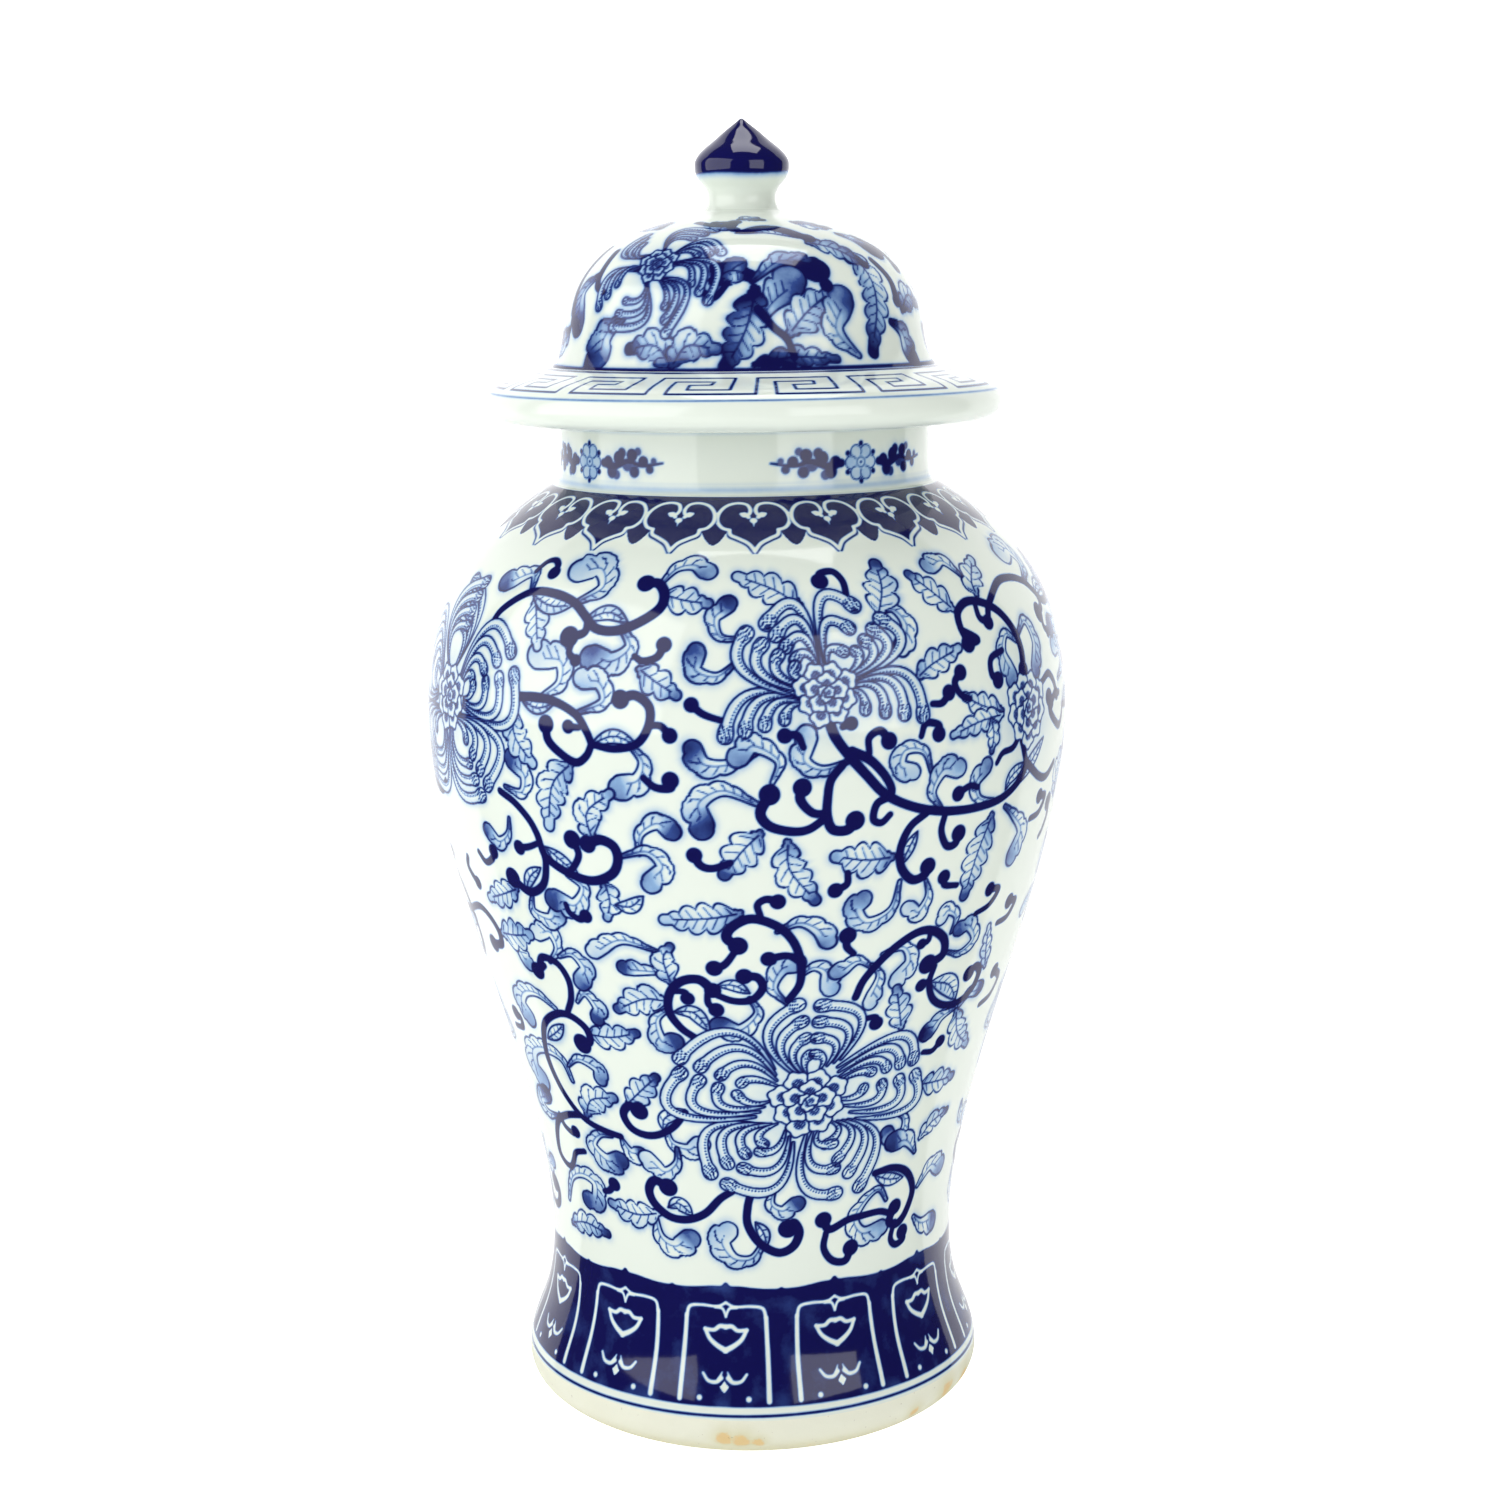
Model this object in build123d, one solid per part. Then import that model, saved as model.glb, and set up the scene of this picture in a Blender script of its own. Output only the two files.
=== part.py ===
"""Lidded porcelain temple jar, in millimetres, +Z up, with the centre of its foot at the origin.

Each node is one clay section that the potter throws and lutes to the next: the jar from its foot ring to its
neck, and the lift-off lid from its locating ring to the tip of its knob.
"""
from build123d import *
import os

# Heights of the joints between sections
FLOOR_UNDER = 9.0      # underside of the recessed base
FOOT_TOP = 17.0        # where the glaze starts
WAIST_Z = 62.0         # the narrowest part, where the flared base is luted on
SEAM_Z = 150.0         # luting seam in the middle of the body
GIRTH_Z = 253.0        # the widest part, where the shoulder is luted on
SHOULDER_Z = 335.2     # root of the neck
SEAT_Z = 360.5         # lip of the neck, on which the lid rests
DOME_Z = 375.6         # where the dome rises from the brim
STEM_Z = 428.8         # root of the knob
BUD_Z = 444.4          # where the knob's dark bud starts
TOP_Z = 460.0

# Radii
RECESS_R = 60.0        # inner wall of the foot ring, under the floor
FLOOR_R = 62.0         # disc that closes the bottom
REST_R = 68.0          # outer edge of the ground foot, on which the jar stands
GLAZE_R = 83.4         # widest part of the foot
ROOT_R = 67.0          # neck at the shoulder
NECK_R = 65.4
BORE_R = 58.9          # inside of the neck
BRIM_R = 91.0
DOME_R = 67.5          # dome at the brim
DOME_IN_R = 58.0
STEM_R = 13.2
BUD_R = 16.5

# The lid's rolled edge and its locating ring
BRIM_UNDER = 356.6     # the edge hangs this low, outside the seat
ROLL_LOW = 8.4         # radius of the roll's lower half
SEAT_OUT_R = 77.0      # outer edge of the lid's flat seat
GUIDE_R = 57.4         # 1.5 mm of play in the neck
GUIDE_WALL = 5.9
GUIDE_IN_R = GUIDE_R - GUIDE_WALL
GUIDE_LOW = 343.0
EASE = 1.2             # bevel on lips and on the locating ring

# Outlines as (radius, height), from low to high
FOOT = [(REST_R, 0), (76.5, 3.2), (82.0, 8.6), (GLAZE_R, 14.0)]
BODY = [(GLAZE_R, 14.0), (77.2, 35.5), (73.7, 60.0), (79.0, 102.0), (95.8, 163.0), (110.6, 220.0),
        (114.2, 253.0), (110.6, 284.0), (101.5, 305.0), (93.7, 314.5), (84.1, 323.5), (75.4, 330.3),
        (ROOT_R, SHOULDER_Z)]
CAVITY = [(FLOOR_R, FOOT_TOP), (66.0, 25.0), (67.2, 40.0), (66.2, 60.0), (71.2, 102.0), (88.4, 164.0),
          (103.9, 225.0), (106.7, 252.0), (102.4, 286.0), (93.4, 303.5), (82.3, 315.1), (70.6, 324.4)]
ROLL_HIGH = [(BRIM_R, BRIM_UNDER + ROLL_LOW), (89.6, 368.0), (86.4, 369.9), (75.0, 373.2), (DOME_R, DOME_Z)]
DOME = [(DOME_R, DOME_Z), (65.3, 379.5), (62.7, 392.0), (57.6, 405.2), (48.3, 415.6), (34.0, 422.8),
        (20.0, 426.6), (STEM_R, STEM_Z)]
DOME_IN = [(DOME_IN_R, DOME_Z), (56.4, 391.0), (51.6, 401.6), (43.6, 409.8), (31.0, 416.0), (16.0, 419.4),
           (0, 420.4)]
KNOB = [(STEM_R, STEM_Z), (11.3, 432.0), (13.9, 436.8), (16.2, 441.4), (BUD_R, BUD_Z)]
BUD = [(BUD_R, BUD_Z), (15.0, 447.8), (10.0, 452.2), (5.2, 456.2), (0.8, 459.6)]


def smooth(points, start, end):
    """A smooth edge through (radius, height) points, with its direction at each end."""
    ends = [(r, 0, z) for r, z in (start, end)]
    return Spline(*[(r, 0, z) for r, z in points], tangents=ends, tangent_scalars=[1, 1])


def straight(*points):
    """Straight edges through (radius, height) points."""
    return Polyline(*[(r, 0, z) for r, z in points]).edges()


def turned(*pieces):
    """The solid that a closed outline sweeps about the Z axis."""
    edges = [edge for piece in pieces for edge in piece.edges()]
    return revolve(make_face(edges), Axis.Z)


def slab(low, high):
    """Everything between two heights."""
    return Pos(0, 0, low) * Cylinder(2 * BRIM_R, high - low, align=(Align.CENTER, Align.CENTER, Align.MIN))


def jar_wall():
    """Foot, body and shoulder as one wall, open at the neck and under the floor."""
    return turned(
        smooth(FOOT, (1, 0.05), (0, 1)),
        smooth(BODY, (0, 1), (-0.9, 0.42)),
        straight((ROOT_R, SHOULDER_Z), (BORE_R, SHOULDER_Z), (BORE_R, SHOULDER_Z - 2), CAVITY[-1]),
        smooth(CAVITY, (1, 1.2), (-0.8, 0.6)),
        straight((FLOOR_R, FOOT_TOP), (FLOOR_R, FLOOR_UNDER), (RECESS_R, FLOOR_UNDER), (RECESS_R, 0), (REST_R, 0)),
    )


def neck():
    """Short upright collar whose flat lip seats the lid."""
    flare = [(ROOT_R, SHOULDER_Z), (65.7, 338.2), (NECK_R, 343.0)]
    return turned(
        smooth(flare, (-0.9, 0.42), (0, 1)),
        straight(flare[-1], (NECK_R, SEAT_Z - EASE), (NECK_R - EASE, SEAT_Z), (BORE_R + EASE, SEAT_Z),
                 (BORE_R, SEAT_Z - EASE), (BORE_R, SHOULDER_Z), flare[0]),
    )


def lid_brim():
    """Flat brim round the dome, with a rolled edge that hangs below its seat."""
    centre = (BRIM_R - ROLL_LOW, 0, BRIM_UNDER + ROLL_LOW)
    low = (centre[0], 0, BRIM_UNDER)
    roll = ThreePointArc(low, (centre[0] + ROLL_LOW * 0.6, 0, centre[2] - ROLL_LOW * 0.8), (BRIM_R, 0, centre[2]))
    return turned(
        roll,
        smooth(ROLL_HIGH, (0, 1), (-0.95, 0.3)),
        straight((DOME_R, DOME_Z), (DOME_IN_R, DOME_Z), (GUIDE_IN_R, SEAT_Z + GUIDE_WALL), (GUIDE_IN_R, SEAT_Z),
                 (SEAT_OUT_R, SEAT_Z), (SEAT_OUT_R + 3, BRIM_UNDER), (low[0], BRIM_UNDER)),
    )


def lid_locating_ring():
    """Straight ring under the brim that drops into the neck."""
    return turned(straight(
        (GUIDE_IN_R, SEAT_Z), (GUIDE_IN_R, GUIDE_LOW + EASE), (GUIDE_IN_R + EASE, GUIDE_LOW),
        (GUIDE_R - EASE, GUIDE_LOW), (GUIDE_R, GUIDE_LOW + EASE), (GUIDE_R, SEAT_Z), (GUIDE_IN_R, SEAT_Z)))


def lid_dome():
    return turned(
        smooth(DOME, (-0.55, 0.83), (-0.88, 0.47)),
        straight((STEM_R, STEM_Z), (0, STEM_Z), DOME_IN[-1]),
        smooth(DOME_IN, (-0.05, 1), (-1, 0)),
        straight((DOME_IN_R, DOME_Z), (DOME_R, DOME_Z)),
    )


def knob_collar():
    """Waist and bulb under the bud."""
    return turned(smooth(KNOB, (-0.7, 0.7), (0, 1)), straight(KNOB[-1], (0, BUD_Z), (0, STEM_Z), KNOB[0]))


def knob_tip():
    """Pointed bud that crowns the lid."""
    return turned(smooth(BUD, (0, 1), (-0.75, 0.65)), straight(BUD[-1], (0, TOP_Z), (0, BUD_Z), BUD[0]))


def jar_and_lid():
    wall = jar_wall()
    return {
        "foot_ring": wall & slab(0, FOOT_TOP),
        "jar_floor": slab(FLOOR_UNDER, FOOT_TOP) & Cylinder(FLOOR_R, 2 * TOP_Z),
        "flared_base": wall & slab(FOOT_TOP, WAIST_Z),
        "lower_body": wall & slab(WAIST_Z, SEAM_Z),
        "upper_body": wall & slab(SEAM_Z, GIRTH_Z),
        "shoulder": wall & slab(GIRTH_Z, SHOULDER_Z),
        "neck": neck(),
        "lid_locating_ring": lid_locating_ring(),
        "lid_brim": lid_brim(),
        "lid_dome": lid_dome(),
        "knob_collar": knob_collar(),
        "knob_tip": knob_tip(),
    }


os.makedirs("parts", exist_ok=True)
for name, section in jar_and_lid().items():
    solids = section.solids()
    if len(solids) != 1:
        raise ValueError(f"{name} has {len(solids)} solids")
    solids[0].label = name
    export_step(solids[0], f"parts/{name}.step")
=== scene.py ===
"""Blue and white temple jar: turned porcelain sections with brush-painted cobalt under a clear glaze.

Angles are in degrees round the jar, 0 at its front and positive to the right. Heights on a painted surface are in
millimetres measured along that surface, from its lower edge.
"""
import math

import bpy
import numpy as np
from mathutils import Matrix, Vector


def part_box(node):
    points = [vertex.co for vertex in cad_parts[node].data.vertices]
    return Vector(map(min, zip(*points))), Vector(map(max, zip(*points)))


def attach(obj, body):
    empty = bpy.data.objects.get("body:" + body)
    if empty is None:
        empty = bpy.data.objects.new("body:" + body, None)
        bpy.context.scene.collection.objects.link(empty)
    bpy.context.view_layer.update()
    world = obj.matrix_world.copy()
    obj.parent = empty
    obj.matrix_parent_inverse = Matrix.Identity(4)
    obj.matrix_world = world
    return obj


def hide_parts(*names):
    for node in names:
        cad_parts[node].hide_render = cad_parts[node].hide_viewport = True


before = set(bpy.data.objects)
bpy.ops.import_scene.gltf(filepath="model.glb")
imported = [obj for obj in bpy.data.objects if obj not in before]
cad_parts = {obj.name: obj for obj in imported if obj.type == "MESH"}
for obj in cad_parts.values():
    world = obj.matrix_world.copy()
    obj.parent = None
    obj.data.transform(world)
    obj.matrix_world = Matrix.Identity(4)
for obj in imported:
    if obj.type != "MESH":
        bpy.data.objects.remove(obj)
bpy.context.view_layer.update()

bl_info = {
    "name": "Painted Temple Jar",
    "version": (1, 0, 0),
    "blender": (4, 5, 0),
    "location": "3D View > Sidebar > Jar",
    "description": "Builds a lidded blue and white temple jar round its CAD frame",
    "category": "Object",
}

MM = 0.001
TURN = 2 * math.pi


def node_heights(node):
    """Lowest and highest point of a CAD node, in millimetres."""
    low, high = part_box(node)
    return low[2] / MM, high[2] / MM


def node_radius(node):
    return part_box(node)[1][0] / MM


FOOT_TOP = node_heights("flared_base")[0]
WAIST = node_heights("lower_body")[0]
SEAM = node_heights("upper_body")[0]
GIRTH = node_heights("shoulder")[0]
SHOULDER = node_heights("neck")[0]
SEAT = node_heights("neck")[1]
BRIM_UNDER, DOME_BASE = node_heights("lid_brim")
STEM, BUD_BASE = node_heights("knob_collar")
TOP = node_heights("knob_tip")[1]
FLOOR_UNDER = node_heights("jar_floor")[0]
GUIDE_LOW = node_heights("lid_locating_ring")[0]
FLOOR_R = node_radius("jar_floor")
GUIDE_R = node_radius("lid_locating_ring")
BRIM_R = node_radius("lid_brim")
GLAZE_R, GLAZE_LOW = 83.4, 14.0
ROOT_R = 67.0
NECK_R = 65.4
BORE_R = 58.9
DOME_R = 67.5
STEM_R = 13.2
BUD_R = 16.5
LIP_R = 64.2
FOOT_BORE = 60.0
DISH_R = 58.0
GUIDE_BORE = 51.5
# Height of the brim's widest ring, and how far in its roll reaches
ROLL, ROLL_IN = 362.4, 8.4
# Faces round the smaller pieces
FOOT_COLUMNS, PLAIN_COLUMNS, NECK_COLUMNS, BRIM_COLUMNS, DOME_COLUMNS, KNOB_COLUMNS = 512, 256, 800, 1100, 850, 300
# Edges that turn by more than this stay crisp, in degrees
CRISP = 38
# Density of a full load of the brush
FULL = 0.95

# Outlines as (radius, height) in millimetres, from low to high
FOOT_LINE = [(68.0, 0), (76.5, 3.2), (82.0, 8.6), (GLAZE_R, GLAZE_LOW)]
BODY_LINE = [(GLAZE_R, GLAZE_LOW), (77.2, 35.5), (73.7, 60.0), (79.0, 102.0), (95.8, 163.0), (110.6, 220.0),
             (114.2, 253.0), (110.6, 284.0), (101.5, 305.0), (93.7, 314.5), (84.1, 323.5), (75.4, 330.3),
             (ROOT_R, 335.2)]
CAVITY_LINE = [(FLOOR_R, 17.0), (66.0, 25.0), (67.2, 40.0), (66.2, 60.0), (71.2, 102.0), (88.4, 164.0),
               (103.9, 225.0), (106.7, 252.0), (102.4, 286.0), (93.4, 303.5), (82.3, 315.1), (70.6, 324.4)]
NECK_LINE = [(ROOT_R, 335.2), (65.7, 338.2), (NECK_R, 343.0)]
BRIM_LINE = [(BRIM_R, ROLL), (90.5, 365.2), (89.0, 367.6), (86.2, 369.6), (75.0, 373.2), (DOME_R, 375.6)]
DOME_LINE = [(DOME_R, 375.6), (65.3, 379.5), (62.7, 392.0), (57.6, 405.2), (48.3, 415.6), (34.0, 422.8),
             (20.0, 426.6), (STEM_R, 428.8)]
DOME_INSIDE = [(DISH_R, DOME_BASE), (56.4, 391.0), (51.6, 401.6), (43.6, 409.8), (31.0, 416.0), (16.0, 419.4),
               (0, 420.4)]
KNOB_LINE = [(STEM_R, 428.8), (11.7, 432.6), (12.8, 436.4), (15.5, 439.7), (16.4, 442.2), (BUD_R, 444.4)]
BUD_LINE = [(BUD_R, 444.4), (15.0, 447.8), (10.0, 452.2), (5.2, 456.2), (0.8, 459.6)]


# ---------------------------------------------------------------- outlines

def resampled(points, step):
    """The same line with points evenly spaced, step apart or a little less."""
    points = np.asarray(points, float)
    along = np.r_[0, np.cumsum(np.hypot(*np.diff(points, axis=0).T))]
    count = max(2, math.ceil(along[-1] / step) + 1)
    at = np.linspace(0, along[-1], count)
    return np.c_[np.interp(at, along, points[:, 0]), np.interp(at, along, points[:, 1])]


def smooth(points, start, end, step):
    """A curve with even curvature through points, leaving and arriving in the given directions."""
    p = np.asarray(points, float)
    gaps = np.hypot(*np.diff(p, axis=0).T)
    count = len(p)
    rows = np.zeros((count, count))
    wanted = np.zeros((count, 2))
    rows[0, 0] = rows[-1, -1] = 1
    wanted[0] = np.array(start) / math.hypot(*start)
    wanted[-1] = np.array(end) / math.hypot(*end)
    for i in range(1, count - 1):
        before, after = gaps[i - 1], gaps[i]
        rows[i, i - 1:i + 2] = after, 2 * (before + after), before
        wanted[i] = 3 * (after * (p[i] - p[i - 1]) / before + before * (p[i + 1] - p[i]) / after)
    slopes = np.linalg.solve(rows, wanted)
    fine = []
    for i in range(count - 1):
        t = np.linspace(0, 1, 60, endpoint=False)[:, None]
        fine.append((1 + 2 * t) * (1 - t) ** 2 * p[i] + t ** 2 * (3 - 2 * t) * p[i + 1]
                    + gaps[i] * (t * (1 - t) ** 2 * slopes[i] - t ** 2 * (1 - t) * slopes[i + 1]))
    return resampled(np.vstack(fine + [p[-1:]]), step)


def between(line, low, high):
    """The stretch of a rising (radius, height) line between two heights, ends included."""
    inside = line[(line[:, 1] > low + 1e-4) & (line[:, 1] < high - 1e-4)]
    ends = [[np.interp(z, line[:, 1], line[:, 0]), z] for z in (low, high)]
    return np.vstack([ends[:1], inside, ends[1:]])


def arc(centre, radius, start, end, count=12):
    """Points on a circle in the (radius, height) plane, between two angles in degrees."""
    turn = np.radians(np.linspace(start, end, count))
    return np.c_[centre[0] + radius * np.cos(turn), centre[1] + radius * np.sin(turn)]


# ---------------------------------------------------------------- turned meshes

def turned_mesh(name, section, columns):
    """A closed solid swept by a (radius, height) section.

    The section is a loop clear of the axis, or a line that starts and ends on it. Also returns the angle of each
    column and the section index of each ring.
    """
    section = np.asarray(section, float)
    poles = section[0, 0] < 1e-6
    ring_ids = np.arange(1, len(section) - 1) if poles else np.arange(len(section))
    angle = np.arange(columns) * TURN / columns - math.pi
    radius = section[ring_ids, 0][:, None] * MM
    height = np.broadcast_to(section[ring_ids, 1][:, None] * MM, (len(ring_ids), columns))
    points = np.stack([radius * np.sin(angle), -radius * np.cos(angle), height], -1).reshape(-1, 3)
    rings = np.arange(len(ring_ids) * columns).reshape(-1, columns)
    lower = rings[:-1] if poles else rings
    upper = rings[1:] if poles else np.roll(rings, -1, 0)
    faces = np.stack([lower, np.roll(lower, -1, 1), np.roll(upper, -1, 1), upper], -1).reshape(-1, 4)
    corners = [faces.ravel()]
    sizes = [np.full(len(faces), 4)]
    if poles:
        first, last = len(points), len(points) + 1
        points = np.vstack([points, [[0, 0, section[0, 1] * MM], [0, 0, section[-1, 1] * MM]]])
        low, high = rings[0], rings[-1]
        corners += [np.stack([np.roll(low, -1), low, np.full(columns, first)], -1).ravel(),
                    np.stack([high, np.roll(high, -1), np.full(columns, last)], -1).ravel()]
        sizes += [np.full(2 * columns, 3)]
    corners, sizes = np.concatenate(corners), np.concatenate(sizes)
    mesh = bpy.data.meshes.new(name)
    mesh.vertices.add(len(points))
    mesh.vertices.foreach_set("co", points.astype(np.float32).ravel())
    mesh.loops.add(len(corners))
    mesh.loops.foreach_set("vertex_index", corners.astype(np.int32))
    mesh.polygons.add(len(sizes))
    mesh.polygons.foreach_set("loop_start", np.r_[0, np.cumsum(sizes)[:-1]].astype(np.int32))
    mesh.update(calc_edges=True)
    mesh.validate()
    mesh.shade_smooth()
    mesh.set_sharp_from_angle(angle=math.radians(CRISP))
    return mesh, np.degrees(angle), ring_ids


def piece(name, section, columns, node, body, materials, paint=None, painted=None):
    """A turned piece that replaces a CAD node and rides on its body.

    paint holds the cobalt, and painted is the outer line of the section that carries it.
    """
    mesh, angles, ring_ids = turned_mesh(name, section, columns)
    cobalt = np.zeros(len(mesh.vertices), np.float32)
    if paint is not None:
        at = {tuple(np.round(p, 4)): i for i, p in enumerate(painted)}
        rows = [at.get(tuple(np.round(section[i], 4)), -1) for i in ring_ids]
        marked = [k for k, row in enumerate(rows) if row >= 0]
        heights = painted[[rows[k] for k in marked], 1]
        grid = cobalt[:len(ring_ids) * columns].reshape(len(ring_ids), columns)
        grid[marked] = paint.sampled(heights, angles)
    layer = mesh.attributes.new("cobalt", "FLOAT", "POINT")
    layer.data.foreach_set("value", cobalt)
    made = bpy.data.objects.new(name, mesh)
    bpy.context.scene.collection.objects.link(made)
    for material in materials:
        mesh.materials.append(material)
    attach(made, body)
    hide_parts(node)
    return made


# ---------------------------------------------------------------- brush and paint

def cover(edge, blur=0.3):
    """How much of a spot is covered, from its distance inside (positive) an edge in millimetres."""
    return np.clip(0.5 + edge / (2 * blur), 0, 1)


def through(points, parts=7):
    """A flowing line through a few points."""
    p = np.asarray(points, float)
    if len(p) == 2:
        return p[0] + (p[1] - p[0]) * np.linspace(0, 1, parts + 1)[:, None]
    padded = np.vstack([2 * p[0] - p[1], p, 2 * p[-1] - p[-2]])
    out = []
    t = np.linspace(0, 1, parts, endpoint=False)[:, None]
    for a, b, c, d in zip(padded, padded[1:], padded[2:], padded[3:]):
        out.append(0.5 * (2 * b + (c - a) * t + (2 * a - 5 * b + 4 * c - d) * t ** 2
                          + (3 * b - a - 3 * c + d) * t ** 3))
    return np.vstack(out + [p[-1:]])


def bowed(base, bulge, tip, parts=14):
    """A single bow from base to tip whose middle passes through bulge."""
    base, bulge, tip = (np.asarray(x, float) for x in (base, bulge, tip))
    pull = 2 * bulge - (base + tip) / 2
    t = np.linspace(0, 1, parts + 1)[:, None]
    return (1 - t) ** 2 * base + 2 * t * (1 - t) * pull + t ** 2 * tip


class Paint:
    """Cobalt on a turned surface: a fine grid over height along the outline and angle round it."""

    def __init__(self, outline, grain):
        self.line = resampled(outline, grain)
        self.height = np.r_[0, np.cumsum(np.hypot(*np.diff(self.line, axis=0).T))]
        self.radius = self.line[:, 0]
        self.columns = int(TURN * self.radius.max() / grain)
        self.grain = grain
        self.ink = np.zeros((len(self.line), self.columns), np.float32)
        self.wash = np.zeros_like(self.ink)
        self.random = np.random.default_rng(7)

    def patch(self, points, reach):
        """The part of the grid within reach of some points, and each spot's angle, height and mm per degree."""
        points = np.asarray(points, float)
        rows = np.flatnonzero((self.height > points[:, 1].min() - reach)
                              & (self.height < points[:, 1].max() + reach))
        if not len(rows):
            return None
        per_degree = self.radius[rows] * TURN / 360
        pad = reach / per_degree.min()
        step = 360 / self.columns
        first = math.floor((points[:, 0].min() - pad + 180) / step)
        last = math.ceil((points[:, 0].max() + pad + 180) / step)
        columns = np.arange(first, min(last, first + self.columns))
        angle = columns * step - 180
        spots = np.ix_(rows, columns % self.columns)
        return spots, angle[None, :], self.height[rows][:, None], per_degree[:, None]

    def near(self, line, reach):
        """For each spot near a line: distance, place along it from 0 to 1, and side.

        side is 1 on its left and -1 on its right, and passes smoothly from one to the other round its ends.
        """
        patch = self.patch(line, reach)
        if patch is None:
            return None
        spots, angle, height, scale = patch
        lengths = np.hypot(np.diff(line[:, 0]) * scale.mean(), np.diff(line[:, 1]))
        starts = np.r_[0, np.cumsum(lengths)]
        best = np.full((height.shape[0], angle.shape[1]), 1e9)
        place = np.zeros_like(best)
        side = np.zeros_like(best)
        for k, (a, b) in enumerate(zip(line, line[1:])):
            run, rise = (b[0] - a[0]) * scale, b[1] - a[1]
            across, up = (angle - a[0]) * scale, height - a[1]
            t = np.clip((across * run + up * rise) / (run ** 2 + rise ** 2 + 1e-9), 0, 1)
            dx, dy = across - t * run, up - t * rise
            distance = np.hypot(dx, dy)
            closer = distance < best
            best = np.where(closer, distance, best)
            place = np.where(closer, (starts[k] + t * lengths[k]) / starts[-1], place)
            across_line = (run * dy - rise * dx) / (np.hypot(run, rise) * distance + 1e-6)
            side = np.where(closer, np.clip(1.4 * across_line, -1, 1), side)
        return spots, best, place, side, starts[-1]

    def add(self, layer, spots, amount):
        layer[spots] = np.maximum(layer[spots], amount)

    def clear(self, spots, amount):
        self.ink[spots] *= 1 - amount
        self.wash[spots] *= 1 - amount

    def stroke(self, points, start, end=None, depth=FULL, flowing=True, white=False):
        """A brush stroke, start and end millimetres wide. A white one is paint left off."""
        end = start if end is None else end
        line = through(points) if flowing else np.asarray(points, float)
        parts = [line] if white else [line[k:k + 2] for k in range(len(line) - 1)]
        for k, part in enumerate(parts):
            found = self.near(part, max(start, end) / 2 + 0.6)
            if found is None:
                continue
            spots, distance, place, _, _ = found
            half = (start + (end - start) * (k + place) / len(parts)) / 2
            amount = cover(half - distance)
            if white:
                self.clear(spots, amount)
            else:
                self.add(self.ink, spots, amount * depth)

    def dot(self, at, radius, depth=FULL, white=False):
        spots, angle, height, scale = self.patch([at], radius + 0.6)
        amount = cover(radius - np.hypot((angle - at[0]) * scale, height - at[1]))
        if white:
            self.clear(spots, amount)
        else:
            self.add(self.ink, spots, amount * depth)

    def add_glow(self, at, reach, depth):
        """The pale bloom round a wet spot."""
        spots, angle, height, scale = self.patch([at], reach * 2)
        far = np.hypot((angle - at[0]) * scale, height - at[1])
        self.add(self.wash, spots, depth * np.exp(-(far / reach) ** 2))

    def ring(self, height, width, depth, soft=0.3):
        """A line all the way round, as the jar turns on the wheel."""
        sway = 0.25 * np.sin(np.radians(np.arange(self.columns) * 720 / self.columns))
        edge = width / 2 - np.abs(self.height[:, None] - height - sway[None, :])
        np.maximum(self.ink, cover(edge, soft) * depth, out=self.ink)

    def fill(self, outline, depth=FULL, white=False):
        """An area inside a closed outline of (angle, height) points."""
        outline = np.asarray(outline, float)
        spots, angle, height, _ = self.patch(outline, 0.6)
        inside = np.zeros((height.shape[0], angle.shape[1]), bool)
        for a, b in zip(outline, np.roll(outline, -1, 0)):
            if a[1] == b[1]:
                continue
            crosses = (a[1] > height) != (b[1] > height)
            inside ^= crosses & (angle < (b[0] - a[0]) * (height - a[1]) / (b[1] - a[1]) + a[0])
        if white:
            self.clear(spots, inside.astype(np.float32))
        else:
            self.add(self.ink, spots, inside * depth)

    def soften(self, layer, reach):
        """Spreads a layer as wet paint spreads, by about reach millimetres."""
        half = max(1, int(reach / self.grain / 2))
        for _ in range(2):
            wrapped = np.pad(layer, ((half, half), (half, half)), mode="wrap")
            wrapped[:half], wrapped[-half:] = wrapped[half], wrapped[-half - 1]
            total = np.cumsum(wrapped, 0, dtype=np.float64)
            layer = np.vstack([total[2 * half:2 * half + 1], total[2 * half + 1:] - total[:-2 * half - 1]])
            total = np.cumsum(layer, 1)
            layer = np.hstack([total[:, 2 * half:2 * half + 1], total[:, 2 * half + 1:] - total[:, :-2 * half - 1]])
            layer = (layer / (2 * half + 1) ** 2).astype(np.float32)
        return layer

    def finish(self, bleed=0.03):
        """Joins line and wash, with the faint bleed that the glaze draws out of each line."""
        halo = self.soften(self.ink, 2.4)
        self.cobalt = np.clip(1 - (1 - self.ink) * (1 - self.wash) * (1 - bleed * halo), 0, 1)

    def sampled(self, heights, angles):
        """The cobalt at some heights (z in millimetres) and angles."""
        rows = np.interp(heights, self.line[:, 1], np.arange(len(self.line)))
        columns = (angles + 180) / 360 * self.columns
        r0 = np.clip(np.floor(rows).astype(int), 0, len(self.line) - 2)
        c0 = np.floor(columns).astype(int)
        fr, fc = (rows - r0)[:, None], (columns - c0)[None, :]
        soft = (self.cobalt + 0.5 * (np.roll(self.cobalt, 1, 1) + np.roll(self.cobalt, -1, 1))) / 2
        a, b = c0 % self.columns, (c0 + 1) % self.columns
        low = soft[np.ix_(r0, a)] * (1 - fc) + soft[np.ix_(r0, b)] * fc
        high = soft[np.ix_(r0 + 1, a)] * (1 - fc) + soft[np.ix_(r0 + 1, b)] * fc
        return low * (1 - fr) + high * fr


# ---------------------------------------------------------------- motifs

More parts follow.
